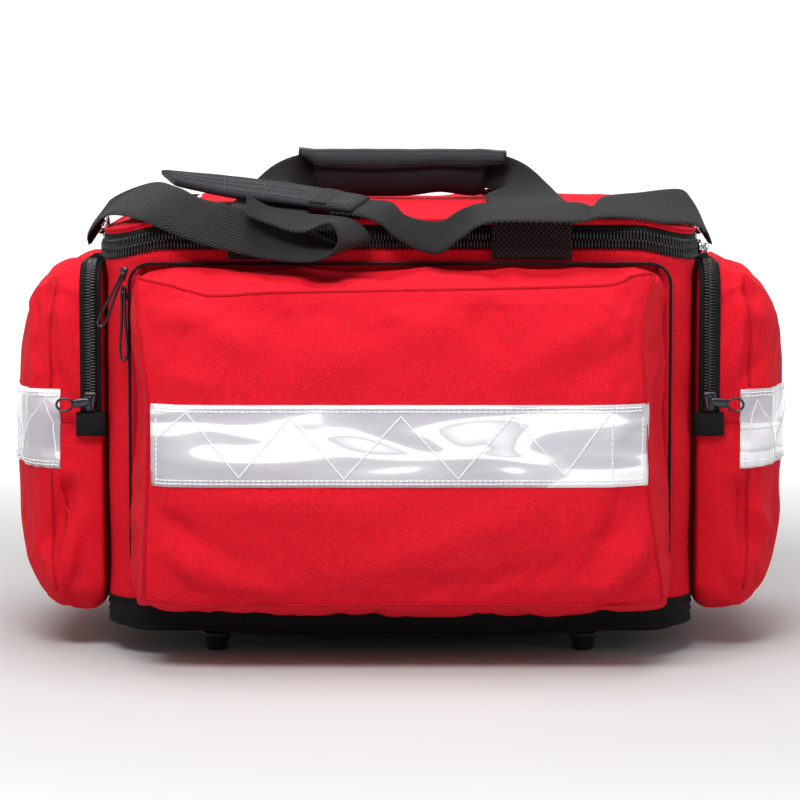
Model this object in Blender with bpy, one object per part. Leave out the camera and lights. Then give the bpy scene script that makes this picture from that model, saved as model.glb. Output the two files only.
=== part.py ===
"""Trauma holdall: a zip-top first-responder bag with box pockets, twin carry
handles joined by a grip wrap, and a clip-on shoulder strap.

Frame: metres, +Z up. The front of the bag faces -Y and its length runs along X.
Pieces are drawn about the middle of the main compartment. The last step moves
them back by CENTRE_SHIFT, so the origin is on the floor under the middle of the
whole bag, front pocket included.
"""
import math

import bmesh
import bpy
from mathutils import Vector

# ---- driving dimensions ---------------------------------------------------
GAP = 0.0003                # clearance between pieces that touch
FOOT_HEIGHT = 0.0105        # floor to the underside of the base
BODY_HALF_LENGTH = 0.186    # main body, X
BODY_HALF_DEPTH = 0.125     # main body, Y
BODY_CORNER = 0.034         # corner radius in plan
BODY_WAIST = 0.14           # height where the walls turn level with the base
WALL = 0.005                # padded fabric wall
BASE_TOP = 0.036            # seam between black base and red wall
WALL_TOP = 0.2535           # red wall meets the main zip tape
ZIP_SPLIT = 0.2637          # line where the main zip parts
ZIP_TOP = 0.2725            # main zip tape meets the lid
LID_CREASE = 0.2760         # piped edge of the lid
LID_DOME = 0.2845           # highest point of the lid
DIVIDER_X = 0.062           # the two dividers, from the middle of the bag
DIVIDER_HALF = 0.003        # half a divider's thickness
DIVIDER_DEPTH = 0.1185      # half a divider's length, Y
DIVIDER_HIGH = 0.205
END_DROP = 0.007            # how far the rim sags at the two ends

POCKET_HALF_LENGTH = 0.168  # front pocket at its back edge
POCKET_BACK = -0.1278       # plane of the front pocket's back rim
POCKET_FRONT = -0.185       # plane of the front panel
POCKET_BOTTOM = 0.036
POCKET_TOP = 0.2478
POCKET_WALL = 0.003
POCKET_CORNER = 0.012       # corner radius of the front pocket and its zip
POCKET_ZIP_SPLIT = -0.1275  # front faces of the two halves of the pocket zip
POCKET_ZIP_FACE = -0.1300
ARCH_FOOT = 0.060           # lower ends of the front pocket zip

END_BACK = BODY_HALF_LENGTH + 0.0024   # plane where an end pocket is sewn on
END_OUT = 0.2445                       # outer face of an end pocket
END_HALF_DEPTH = 0.105
END_BOTTOM = 0.036
END_TOP = 0.2465
END_CORNER = 0.020
END_WALL = 0.003
END_ZIP_X = 0.1955          # middle of an end pocket's zip
END_ZIP_HALF = 0.0068
END_ZIP_LOW = 0.1535
END_ZIP_STOP = -0.030
END_TAB_LOW = 0.1385        # sewn tab below an end pocket's zip
END_TAB_HALF = 0.0095
END_SLIDER_LOW = 0.1550
SLIDER_DEEP = 0.0035        # slider body, out from the zip
SLIDER_HALF = 0.0042
PULL_WIRE = 0.0009          # radius of a wire pull
PULL_REACH = 0.0215
PULL_HALF = 0.0027

STRIP_LOW = 0.117           # 50 mm reflective tape
STRIP_HIGH = 0.167
STRIP_THICK = 0.0012

WEB_WIDTH = 0.050           # carry handle and shoulder strap webbing
WEB_THICK = 0.0020
STRAP_THICK = 0.0018
TAB_THICK = 0.0012
GRIP_WEB = 0.022            # handle webbing where it is folded inside the grip
LEG_X = 0.082               # handle legs, from the middle of the bag
HANDLE_PIVOT_Z = 0.2525     # webbing leaves the seam under the main zip
FRONT_PIVOT_Y = -0.1305
REAR_PIVOT_Y = 0.1305
GRIP_HALF = 0.068
GRIP_LOW = 0.2880
GRIP_HIGH = 0.3155

TAPE_OUT = 0.0004           # zip tape and coil faces outside the wall line, and tape back
COIL_OUT = 0.0026
TAPE_IN = -0.0028
# half of how much further the front strip stands out than the rear handle
CENTRE_SHIFT = 0.02715

RED = (0.80, 0.03, 0.04, 1)
BLACK = (0.020, 0.020, 0.022, 1)
CHARCOAL = (0.045, 0.045, 0.050, 1)
SILVER = (0.62, 0.62, 0.70, 1)
CHROME = (0.80, 0.80, 0.80, 1)
GUNMETAL = (0.10, 0.10, 0.11, 1)
GREY = (0.30, 0.30, 0.32, 1)

SAG_START = 0.145           # the rim is level up to here and sags towards the ends
RIM_SPLITS = (0.78, 0.0, -0.78)   # extra points along the rim's straight sides


# ---- tools ----------------------------------------------------------------
def clear_scene():
    for old in list(bpy.data.objects):
        bpy.data.objects.remove(old, do_unlink=True)


def finish_look(obj, colour, rough, metal=0.0):
    """Give one object its own Principled material."""
    mat = bpy.data.materials.new(obj.name + "_finish")
    mat.use_nodes = True
    shader = mat.node_tree.nodes["Principled BSDF"]
    shader.inputs["Base Color"].default_value = colour
    shader.inputs["Roughness"].default_value = rough
    shader.inputs["Metallic"].default_value = metal
    mat.diffuse_color = colour
    obj.data.materials.append(mat)
    return obj


def from_bmesh(name, bm, colour, rough=0.8, metal=0.0, pivot=None, smooth=True):
    """Turn a bmesh in world coordinates into an object whose origin is pivot."""
    bmesh.ops.recalc_face_normals(bm, faces=bm.faces)
    if bm.calc_volume(signed=True) < 0:
        bmesh.ops.reverse_faces(bm, faces=bm.faces)
    pivot = Vector(pivot) if pivot else Vector((0, 0, 0))
    bmesh.ops.translate(bm, verts=bm.verts, vec=-pivot)
    mesh = bpy.data.meshes.new(name)
    bm.to_mesh(mesh)
    bm.free()
    if smooth:
        mesh.shade_smooth()
        mesh.set_sharp_from_angle(angle=math.radians(35))
    obj = bpy.data.objects.new(name, mesh)
    obj.location = pivot
    bpy.context.scene.collection.objects.link(obj)
    return finish_look(obj, colour, rough, metal)


def smoothstep(t):
    t = min(max(t, 0.0), 1.0)
    return t * t * (3 - 2 * t)


def rim_drop(x):
    """Sag of the rim towards the two ends of the bag."""
    return END_DROP * smoothstep((abs(x) - SAG_START) / (BODY_HALF_LENGTH - SAG_START))


def rounded_outline(half_u, half_v, radius, steps=4, splits=()):
    """Points of a rounded rectangle, anticlockwise from the +u side.

    splits are fractions of half_u where the two long sides get extra points.
    """
    points = []
    for corner, (su, sv) in enumerate(((1, 1), (-1, 1), (-1, -1), (1, -1))):
        cu = su * (half_u - radius)
        cv = sv * (half_v - radius)
        for k in range(steps + 1):
            angle = math.radians(90 * corner + 90 * k / steps)
            points.append((cu + radius * math.cos(angle), cv + radius * math.sin(angle)))
        if corner in (0, 2):
            points += [(su * share * half_u, sv * half_v) for share in splits]
    return points


def loft(loops, ring=False):
    """Skin a list of equal loops; caps both ends, or joins last to first."""
    bm = bmesh.new()
    rows = [[bm.verts.new(p) for p in loop] for loop in loops]
    pairs = list(zip(rows, rows[1:]))
    if ring:
        pairs.append((rows[-1], rows[0]))
    for low, high in pairs:
        count = len(low)
        for k in range(count):
            m = (k + 1) % count
            bm.faces.new((low[k], low[m], high[m], high[k]))
    if not ring:
        bm.faces.new(rows[0])
        bm.faces.new(rows[-1])
    return bm


def plan_loop(z, outset, sag=False, rear_outset=None, radius=BODY_CORNER):
    """Loop around the main body at height z, moved outwards by outset.

    With rear_outset, the front and ends get outset and the rear gets rear_outset.
    """
    loops = []
    for out in (outset if rear_outset is None else rear_outset, outset):
        loops.append(rounded_outline(BODY_HALF_LENGTH + out, BODY_HALF_DEPTH + out,
                                     max(radius + out, 0.004), 4, RIM_SPLITS))
    loop = []
    for (xr, yr), (xf, yf) in zip(*loops):
        share = 1.0 - smoothstep((yr - 0.085) / 0.025)
        x = xr + (xf - xr) * share
        y = yr + (yf - yr) * share
        loop.append((x, y, z - (rim_drop(x) if sag else 0.0)))
    return loop


def block(name, low, high, colour, rough=0.7, metal=0.0, bevel=0.0, pivot=None):
    """Box between two corners, with bevelled edges."""
    bm = bmesh.new()
    bmesh.ops.create_cube(bm, size=1.0)
    size = [b - a for a, b in zip(low, high)]
    middle = [(a + b) / 2 for a, b in zip(low, high)]
    bmesh.ops.scale(bm, vec=size, verts=bm.verts)
    bmesh.ops.translate(bm, vec=middle, verts=bm.verts)
    if bevel:
        bmesh.ops.bevel(bm, geom=bm.edges[:], offset=bevel, segments=1, affect="EDGES")
    return from_bmesh(name, bm, colour, rough, metal, pivot)


def ribbon(stations, thick):
    """Flat webbing from a list of (near edge, far edge) pairs."""
    centres = [(Vector(a) + Vector(b)) / 2 for a, b in stations]
    loops = []
    for k, (near, far) in enumerate(stations):
        before = centres[max(k - 1, 0)]
        after = centres[min(k + 1, len(centres) - 1)]
        along = (after - before).normalized()
        across = Vector(far) - Vector(near)
        normal = along.cross(across).normalized() * (thick / 2)
        near = Vector(near)
        far = Vector(far)
        loops.append([near - normal, far - normal, far + normal, near + normal])
    return loft(loops)


def wire(name, points, radius, colour, rough, metal, closed=False, pivot=None):
    """Bent round wire as a bevelled poly curve with filled caps."""
    pivot = Vector(pivot) if pivot else Vector((0, 0, 0))
    curve = bpy.data.curves.new(name, "CURVE")
    curve.dimensions = "3D"
    curve.bevel_depth = radius
    curve.bevel_resolution = 1
    curve.use_fill_caps = True
    spline = curve.splines.new("POLY")
    spline.points.add(len(points) - 1)
    for slot, point in zip(spline.points, points):
        place = Vector(point) - pivot
        slot.co = (place.x, place.y, place.z, 1.0)
    spline.use_cyclic_u = closed
    obj = bpy.data.objects.new(name, curve)
    obj.location = pivot
    bpy.context.scene.collection.objects.link(obj)
    return finish_look(obj, colour, rough, metal)


def drill(target, x, y, radius, z_low, z_high):
    """Cut a round hole along Z with a hidden cutter."""
    bm = bmesh.new()
    bmesh.ops.create_cone(bm, cap_ends=True, segments=12, radius1=radius, radius2=radius,
                          depth=z_high - z_low)
    bmesh.ops.translate(bm, vec=(x, y, (z_low + z_high) / 2), verts=bm.verts)
    mesh = bpy.data.meshes.new("hole")
    bm.to_mesh(mesh)
    bm.free()
    cutter = bpy.data.objects.new("hole_cutter", mesh)
    bpy.context.scene.collection.objects.link(cutter)
    cutter.hide_render = True
    cutter.display_type = "WIRE"
    cut = target.modifiers.new("hole", "BOOLEAN")
    cut.operation = "DIFFERENCE"
    cut.solver = "EXACT"
    cut.object = cutter


# ---- main compartment -----------------------------------------------------
FEET = {"front_left": (-0.117, -0.098), "front_right": (0.117, -0.098),
        "rear_left": (-0.117, 0.098), "rear_right": (0.117, 0.098)}
FOOT_SHANK = 0.0024
BASE_FLOOR = 0.004
BOARD_LOW = FOOT_HEIGHT + BASE_FLOOR + GAP
BOARD_HIGH = BOARD_LOW + 0.003


def build_base():
    """Black tray with rounded lower edges, stiffener board, feet and rivets."""
    outer = [(FOOT_HEIGHT, -0.012), (0.0125, -0.005), (0.017, -0.0005),
             (BASE_TOP - GAP, 0.0010)]
    inner = [(BASE_TOP - GAP, -0.004), (0.020, -0.005), (FOOT_HEIGHT + BASE_FLOOR, -0.010)]
    loops = [plan_loop(z, outset) for z, outset in outer + inner]
    tray = from_bmesh("base_panel", loft(loops), BLACK, 0.75)
    board_loops = [plan_loop(z, -0.0118) for z in (BOARD_LOW, BOARD_HIGH)]
    board = from_bmesh("base_board", loft(board_loops), GREY, 0.6)
    for place, (x, y) in FEET.items():
        drill(tray, x, y, FOOT_SHANK + GAP, 0.009, 0.017)
        drill(board, x, y, FOOT_SHANK + GAP, 0.013, 0.020)
        profile = [(0.0, 0.0), (0.0062, 0.0), (0.0070, 0.0012), (0.0092, FOOT_HEIGHT - GAP),
                   (FOOT_SHANK, FOOT_HEIGHT - GAP), (FOOT_SHANK, BOARD_HIGH - GAP),
                   (0.0, BOARD_HIGH - GAP)]
        turned("foot_" + place, profile, x, y, BLACK, 0.55)
        cap = [(0.0, BOARD_HIGH + GAP), (0.0065, BOARD_HIGH + GAP), (0.0055, BOARD_HIGH + 0.0016),
               (0.0025, BOARD_HIGH + 0.0024), (0.0, BOARD_HIGH + 0.0024)]
        turned("rivet_" + place, cap, x, y, CHROME, 0.35, 0.9)


def turned(name, profile, x, y, colour, rough, metal=0.0, steps=14):
    """Solid of revolution about a vertical axis from (radius, z) points."""
    bm = bmesh.new()
    rows = []
    for radius, z in profile:
        if radius == 0.0:
            rows.append([bm.verts.new((x, y, z))])
            continue
        rows.append([bm.verts.new((x + radius * math.cos(2 * math.pi * k / steps),
                                   y + radius * math.sin(2 * math.pi * k / steps), z))
                     for k in range(steps)])
    for low, high in zip(rows, rows[1:]):
        for k in range(steps):
            m = (k + 1) % steps
            corners = [low[k % len(low)], low[m % len(low)], high[m % len(high)], high[k % len(high)]]
            unique = list(dict.fromkeys(corners))
            bm.faces.new(unique)
    return from_bmesh(name, bm, colour, rough, metal)


def build_body():
    """Red padded wall ring between the base seam and the main zip."""
    outer = [(BASE_TOP + GAP, 0.0, False), (BODY_WAIST, 0.0, False), (WALL_TOP, 0.0, True)]
    inner = [(z, -WALL, sag) for z, _, sag in outer[::-1]]
    loops = [plan_loop(z, outset, sag) for z, outset, sag in outer + inner]
    from_bmesh("main_shell", loft(loops, ring=True), RED)
    for side, x in (("left", -DIVIDER_X), ("right", DIVIDER_X)):
        block("divider_" + side, (x - DIVIDER_HALF, -DIVIDER_DEPTH, 0.0215),
              (x + DIVIDER_HALF, DIVIDER_DEPTH, DIVIDER_HIGH), GREY, 0.85, bevel=0.0012)


def zip_band(name, z_low, z_high, bead_low, bead_high):
    """Zip tape around the rim with a raised coil on the front and both ends."""
    outer = [(z_low, TAPE_OUT), (bead_low, TAPE_OUT), (bead_low, COIL_OUT), (bead_high, COIL_OUT)]
    if bead_high < z_high:
        outer += [(bead_high, TAPE_OUT), (z_high, TAPE_OUT)]
    inner = [(z_high, TAPE_IN), (z_low, TAPE_IN)]
    loops = [plan_loop(z, outset, True, min(outset, TAPE_OUT)) for z, outset in outer + inner]
    return from_bmesh(name, loft(loops, ring=True), BLACK, 0.5)


def build_main_zip():
    zip_band("main_zip_lower", WALL_TOP + GAP, ZIP_SPLIT - GAP, 0.2580, ZIP_SPLIT - GAP)
    zip_band("main_zip_upper", ZIP_SPLIT + GAP, ZIP_TOP - GAP, ZIP_SPLIT + GAP, 0.2692)


def build_lid():
    """Domed red lid with a piped edge and a shallow skirt."""
    outer = [(ZIP_TOP, 0.0), (LID_CREASE - 0.001, 0.0005), (LID_CREASE, -0.0010),
             (0.2790, -0.014), (0.2820, -0.035), (0.2838, -0.065), (LID_DOME, -0.100)]
    inner = [(0.2812, -0.100), (0.2800, -0.065), (0.2780, -0.035), (0.2750, -0.014),
             (ZIP_TOP, -0.005)]
    loops = [plan_loop(z, outset, True) for z, outset in inner[::-1]]
    outer_loops = [plan_loop(z, outset, True) for z, outset in outer]
    bm = loft(loops[::-1] + outer_loops)
    from_bmesh("lid_panel", bm, RED)


# ---- front pocket ---------------------------------------------------------
def pocket_loop(y, inset, top_drop=0.0, radius=POCKET_CORNER):
    """Rounded rectangle of the front pocket in the plane y."""
    low = POCKET_BOTTOM + inset
    high = POCKET_TOP - inset - top_drop
    half_z = (high - low) / 2
    mid_z = (high + low) / 2
    outline = rounded_outline(POCKET_HALF_LENGTH - inset, half_z, max(radius - inset, 0.003), 3)
    return [(x, y, mid_z + z) for x, z in outline]


def build_front_pocket():
    pivot = (0, POCKET_BACK, POCKET_BOTTOM)
    outer = [(POCKET_BACK, 0.0, 0.0), (-0.150, 0.0005, 0.002), (-0.170, 0.003, 0.005),
             (-0.181, 0.0065, 0.003), (POCKET_FRONT, 0.0110, 0.0)]
    loops = [pocket_loop(y, inset, drop) for y, inset, drop in outer]
    wall = POCKET_WALL
    inner = [(POCKET_BACK, wall, 0.0), (-0.150, wall + 0.0005, 0.002),
             (-0.176, wall + 0.006, 0.004), (POCKET_FRONT + wall, wall + 0.011, 0.0)]
    inner_loops = [pocket_loop(y, inset, drop) for y, inset, drop in inner]
    bm = loft(inner_loops[::-1] + loops)
    from_bmesh("front_pocket_shell", bm, RED, pivot=pivot)
    block("front_reflective_strip", (-0.151, POCKET_FRONT - GAP - STRIP_THICK, STRIP_LOW),
          (0.151, POCKET_FRONT - GAP, STRIP_HIGH), SILVER, 0.25, pivot=pivot)
    for name, back, front, at_pivot in (
            ("front_pocket_zip_inner", -BODY_HALF_DEPTH - 0.0002, POCKET_ZIP_SPLIT, None),
            ("front_pocket_zip_outer", POCKET_BACK, POCKET_ZIP_FACE, pivot)):
        zip_arch(name, back, front, at_pivot)


def zip_arch(name, back, front, pivot):
    """Zip half over the top and down both sides of the front pocket."""
    outset_low = 0.0003 if pivot else -0.0030
    outset_high = 0.0022
    half = POCKET_HALF_LENGTH
    radius = POCKET_CORNER
    stations = [(-half, ARCH_FOOT, -1, 0), (-half, POCKET_TOP - radius, -1, 0)]
    for k in range(1, 4):
        angle = math.radians(180 - 90 * k / 4)
        stations.append((-half + radius + radius * math.cos(angle),
                         POCKET_TOP - radius + radius * math.sin(angle),
                         math.cos(angle), math.sin(angle)))
    stations.append((-half + radius, POCKET_TOP, 0, 1))
    mirrored = [(-x, z, -nx, nz) for x, z, nx, nz in stations[::-1]]
    loops = []
    for x, z, nx, nz in stations + mirrored:
        low_x, low_z = x + nx * outset_low, z + nz * outset_low
        high_x, high_z = x + nx * outset_high, z + nz * outset_high
        loops.append([(low_x, back, low_z), (high_x, back, high_z),
                      (high_x, front, high_z), (low_x, front, low_z)])
    return from_bmesh(name, loft(loops), BLACK, 0.5, pivot=pivot)


# ---- end pockets ----------------------------------------------------------
END_STATIONS = [(END_BACK, 0.0), (0.216, 0.0005), (0.2275, 0.004), (0.236, 0.011),
                (0.2415, 0.019), (END_OUT, 0.031)]


def end_loop(side, x, inset, radius=END_CORNER):
    """Rounded rectangle of an end pocket in the plane x."""
    half_z = (END_TOP - END_BOTTOM) / 2 - inset
    mid_z = (END_TOP + END_BOTTOM) / 2 - 0.25 * inset
    outline = rounded_outline(END_HALF_DEPTH - inset, half_z, radius, 3)
    return [(side * x, y, mid_z + z) for y, z in outline]


def end_surface_path(offset):
    """Plan path around an end pocket: front gusset, outer face, rear gusset."""
    points = [(0.2125, -END_HALF_DEPTH)] + [(x, -END_HALF_DEPTH + inset)
                                            for x, inset in END_STATIONS[1:]]
    points += [(x, -y) for x, y in points[::-1]]
    moved = []
    for k, (x, y) in enumerate(points):
        ax, ay = points[max(k - 1, 0)]
        bx, by = points[min(k + 1, len(points) - 1)]
        direction = Vector((bx - ax, by - ay)).normalized()
        moved.append((x + direction.y * offset, y - direction.x * offset))
    return moved


def build_end_pocket(side, word):
    outer = [end_loop(side, x, inset) for x, inset in END_STATIONS]
    wall = END_WALL
    inner_stations = [(END_BACK, wall), (0.218, wall + 0.001), (0.232, wall + 0.009),
                      (END_OUT - wall, wall + 0.031)]
    inner = [end_loop(side, x, inset, END_CORNER - END_WALL) for x, inset in inner_stations]
    from_bmesh(word + "_pocket_shell", loft(inner[::-1] + outer), RED)
    near = end_surface_path(0.0007)
    far = end_surface_path(0.0007 + STRIP_THICK)
    loops = []
    for (xn, yn), (xf, yf) in zip(near, far):
        loops.append([(side * xn, yn, STRIP_LOW), (side * xf, yf, STRIP_LOW),
                      (side * xf, yf, STRIP_HIGH), (side * xn, yn, STRIP_HIGH)])
    from_bmesh(word + "_pocket_strip", loft(loops), SILVER, 0.25)
    build_end_zip(side, word)


def build_end_zip(side, word):
    """Zip up the front gusset and along the top as far as the ring tab."""
    depth = END_HALF_DEPTH
    radius = END_CORNER
    path = [(-depth, END_ZIP_LOW), (-depth, END_TOP - radius)]
    normals = [(-1, 0), (-1, 0)]
    for k in range(1, 5):
        angle = math.radians(180 - 90 * k / 4)
        path.append((-depth + radius + radius * math.cos(angle),
                     END_TOP - radius + radius * math.sin(angle)))
        normals.append((math.cos(angle), math.sin(angle)))
    path.append((END_ZIP_STOP, END_TOP))
    normals.append((0, 1))
    coil = 0.0035
    profile = [(-END_ZIP_HALF, 0.0004), (END_ZIP_HALF, 0.0004), (END_ZIP_HALF, 0.0012),
               (coil, 0.0012), (coil, 0.0030), (-coil, 0.0030), (-coil, 0.0012),
               (-END_ZIP_HALF, 0.0012)]
    loops = []
    for (y, z), (ny, nz) in zip(path, normals):
        loops.append([(side * END_ZIP_X + a, y + ny * b, z + nz * b) for a, b in profile])
    from_bmesh(word + "_pocket_zip", loft(loops), BLACK, 0.5)
    axis_x = side * END_ZIP_X
    block(word + "_zip_tab", (axis_x - END_TAB_HALF, -depth - 0.0046, END_TAB_LOW),
          (axis_x + END_TAB_HALF, -depth - GAP - 0.0001, END_ZIP_LOW - GAP), BLACK, 0.8,
          bevel=0.0006)
    face = -depth - 0.0030 - GAP
    low = END_SLIDER_LOW
    block(word + "_slider", (axis_x - SLIDER_HALF, face - SLIDER_DEEP, low),
          (axis_x + SLIDER_HALF, face, low + 0.0115), GUNMETAL, 0.35, 0.9, bevel=0.0009)
    pull_y = face - SLIDER_DEEP - GAP - PULL_WIRE
    reach = side * PULL_REACH
    start = side * 0.0012
    half = PULL_HALF
    mid_z = low + 0.0058
    points = [(axis_x + start, pull_y, mid_z - half * 0.6), (axis_x + reach * 0.8, pull_y, mid_z - half),
              (axis_x + reach, pull_y, mid_z - half * 0.5), (axis_x + reach, pull_y, mid_z + half * 0.5),
              (axis_x + reach * 0.8, pull_y, mid_z + half), (axis_x + start, pull_y, mid_z + half * 0.6)]
    wire(word + "_pull", points, PULL_WIRE, GUNMETAL, 0.35, 0.9, True, (axis_x, pull_y, mid_z))


# ---- front pocket sliders and main slider ---------------------------------
TOP_SLIDER_PIVOT = (-0.1722, -0.1363, 0.2430)
SIDE_SLIDER_PIVOT = (-0.1722, -0.1342, 0.2310)
MAIN_SLIDER_Y = -0.081      # middle of the main slider on the right end


def pull_loop(name, pivot, tilt_deg, length, half_width, radius):
    """Long wire pull hanging from pivot in the plane of the pocket's front."""
    tilt = math.radians(tilt_deg)
    down = Vector((math.sin(tilt), 0, -math.cos(tilt)))
    side = Vector((math.cos(tilt), 0, math.sin(tilt)))
    outline = [(0.0, -0.35), (0.0, 0.35), (0.5, 0.6), (0.82, 1.0), (0.96, 0.75), (1.0, 0.0),
               (0.96, -0.75), (0.82, -1.0), (0.5, -0.6)]
    base = Vector(pivot)
    points = [base + down * (length * a) + side * (half_width * b) for a, b in outline]
    wire(name, points, radius, GUNMETAL, 0.35, 0.9, True, pivot)


def build_pocket_sliders():
    """Two sliders at the pocket zip's top left corner, each with a long wire pull."""
    x, y, z = TOP_SLIDER_PIVOT
    block("pocket_slider_top", (x - 0.0018, y + 0.0013, z - 0.0045),
          (-POCKET_HALF_LENGTH - 0.0025, -0.1283, z + 0.0040), GUNMETAL, 0.35, 0.9, bevel=0.0004)
    pull_loop("pocket_pull_top", TOP_SLIDER_PIVOT, -24, 0.0355, 0.0026, 0.0009)
    x, y, z = SIDE_SLIDER_PIVOT
    block("pocket_slider_side", (x - 0.0018, y + 0.0010, z - 0.0045),
          (-POCKET_HALF_LENGTH - 0.0025, -0.1283, z + 0.0045), GUNMETAL, 0.35, 0.9, bevel=0.0004)
    pull_loop("pocket_pull_side", SIDE_SLIDER_PIVOT, 0, 0.042, 0.0024, 0.0006)


def build_main_slider():
    """Slider on the right end of the main zip, with a short metal pull."""
    x = BODY_HALF_LENGTH + 0.0026 + GAP
    z = ZIP_SPLIT - END_DROP
    block("main_slider", (x, MAIN_SLIDER_Y - 0.007, z - 0.0046),
          (x + 0.0034, MAIN_SLIDER_Y + 0.007, z + 0.0046), CHROME, 0.3, 0.9, bevel=0.0009)
    pivot = (x + 0.0034 + GAP + 0.0010, MAIN_SLIDER_Y - 0.005, z)
    outline = [(-0.001, -0.0018), (-0.012, -0.0028), (-0.018, -0.0020), (-0.018, 0.0020),
               (-0.012, 0.0028), (-0.001, 0.0018)]
    points = [(pivot[0], pivot[1] + along, z + across) for along, across in outline]
    wire("main_pull", points, 0.0010, CHROME, 0.3, 0.9, True, pivot)


# ---- carry handles --------------------------------------------------------
# right leg of the front handle: (inner x, outer x, y, inner z, outer z)
LEG_STATIONS = [(0.0570, 0.1070, -0.1305, 0.2528, 0.2528), (0.0570, 0.1070, -0.1312, 0.2690, 0.2690),
                (0.0570, 0.1070, -0.1288, 0.2770, 0.2770), (0.0570, 0.1070, -0.1205, 0.2800, 0.2800),
                (0.0570, 0.1065, -0.0900, 0.2840, 0.2840), (0.0550, 0.1030, -0.0550, 0.2862, 0.2872),
                (0.0580, 0.0960, -0.0300, 0.2885, 0.2945), (0.0670, 0.0830, -0.0120, 0.2900, 0.3060)]
GRIP_WEB_Y = -0.0030
GRIP_WEB_LOW = 0.2908
GRIP_WEB_HIGH = GRIP_WEB_LOW + GRIP_WEB


def handle_stations(facing):
    """(inner edge, outer edge) pairs from the right anchor to the left one."""
    leg = [((xi, facing * -y, zi), (xo, facing * -y, zo)) for xi, xo, y, zi, zo in LEG_STATIONS]
    grip_y = facing * -GRIP_WEB_Y
    leg.append(((0.0668, grip_y, GRIP_WEB_LOW), (0.0690, grip_y, GRIP_WEB_HIGH)))
    left = [((-a[0], a[1], a[2]), (-b[0], b[1], b[2])) for a, b in leg[::-1]]
    return leg + left


def build_handles():
    """Two webbing handles, sewn under the main zip, and the wrap that joins them."""
    for word, facing, pivot_y in (("front", -1, FRONT_PIVOT_Y), ("rear", 1, REAR_PIVOT_Y)):
        bm = ribbon(handle_stations(facing), WEB_THICK)
        from_bmesh(word + "_handle", bm, CHARCOAL, 0.85, pivot=(0, pivot_y, HANDLE_PIVOT_Z))
        for side, centre in (("left", -LEG_X), ("right", LEG_X)):
            low_y, high_y = sorted((facing * (BODY_HALF_DEPTH + 0.0005),
                                    facing * (BODY_HALF_DEPTH + 0.0027)))
            block(word + "_anchor_" + side, (centre - WEB_WIDTH / 2, low_y, 0.2504),
                  (centre + WEB_WIDTH / 2, high_y, 0.2534), CHARCOAL, 0.85, bevel=0.0004)
    pivot = (0, REAR_PIVOT_Y, HANDLE_PIVOT_Z)
    section = [(-0.0094, GRIP_LOW), (0.0094, GRIP_LOW), (0.0110, GRIP_LOW + 0.003),
               (0.0110, GRIP_HIGH - 0.003), (0.0094, GRIP_HIGH), (-0.0094, GRIP_HIGH),
               (-0.0094, GRIP_WEB_HIGH + 0.0008), (0.0072, GRIP_WEB_HIGH + 0.0008),
               (0.0072, GRIP_WEB_LOW - 0.0008), (-0.0094, GRIP_WEB_LOW - 0.0008)]
    loops = [[(x, y, z) for y, z in section] for x in (-GRIP_HALF + 0.004, GRIP_HALF - 0.004)]
    from_bmesh("grip_wrap", loft(loops), CHARCOAL, 0.7, pivot=pivot)
    block("grip_flap", (-GRIP_HALF + 0.004, -0.0124, GRIP_LOW + 0.002),
          (GRIP_HALF - 0.004, -0.0098, GRIP_HIGH - 0.001), CHARCOAL, 0.7, bevel=0.0008, pivot=pivot)


# ---- shoulder strap -------------------------------------------------------
TAB_X = 0.1940
RING_BAR_Z = 0.2548
RING_HALF = 0.0150
RING_RISE = 0.0180
HOOK_Z = 0.2650
HOOK_BAR_Y = -0.0405


def build_ring(side, word):
    """Webbing tab, D-ring, snap hook and its gate at one end of the bag."""
    x = side * TAB_X
    bar = RING_BAR_Z
    path = [(x - 0.0021, 0.2470), (x - 0.0021, bar)]
    for k in range(1, 4):
        angle = math.radians(180 - 45 * k)
        path.append((x + 0.0021 * math.cos(angle), bar + 0.0021 * math.sin(angle)))
    path += [(x + 0.0021, bar), (x + 0.0021, 0.2470)]
    stations = [((px, -0.0125, pz), (px, 0.0125, pz)) for px, pz in path]
    from_bmesh(word + "_ring_tab", ribbon(stations, TAB_THICK), CHARCOAL, 0.85)
    arc = [(x, RING_HALF * math.cos(math.radians(a)),
            bar + 0.004 + (RING_RISE - 0.004) * math.sin(math.radians(a)))
           for a in range(0, 181, 30)]
    points = [(x, RING_HALF, bar)] + arc + [(x, -RING_HALF, bar)]
    wire(word + "_d_ring", points, 0.0012, CHROME, 0.25, 1.0, True)
    near = -RING_HALF - 0.0030
    inside = -RING_HALF + 0.0060
    z = HOOK_Z
    half = 0.0052
    outer = x + side * half
    inner = x - side * 0.0034
    hook = [(outer, inside - 0.0022, z), (x + side * 0.002, inside, z), (inner, inside - 0.002, z),
            (inner, near - 0.010, z), (x, near - 0.0135, z), (x, HOOK_BAR_Y + 0.0030, z)]
    wire(word + "_snap_hook", hook, 0.0013, CHROME, 0.25, 1.0)
    gate_end = (outer, inside - 0.0055, z)
    gate_pivot = (x + side * 0.0045, near - 0.0115, z)
    wire(word + "_hook_gate", [gate_pivot, (outer, near - 0.008, z), gate_end], 0.0009,
         CHROME, 0.25, 1.0, False, gate_pivot)
    bar_ends = [(side * 0.2015, HOOK_BAR_Y, 0.2570), (side * 0.1914, HOOK_BAR_Y, 0.2722)]
    wire(word + "_hook_bar", bar_ends, 0.0014, CHROME, 0.25, 1.0)


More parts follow.
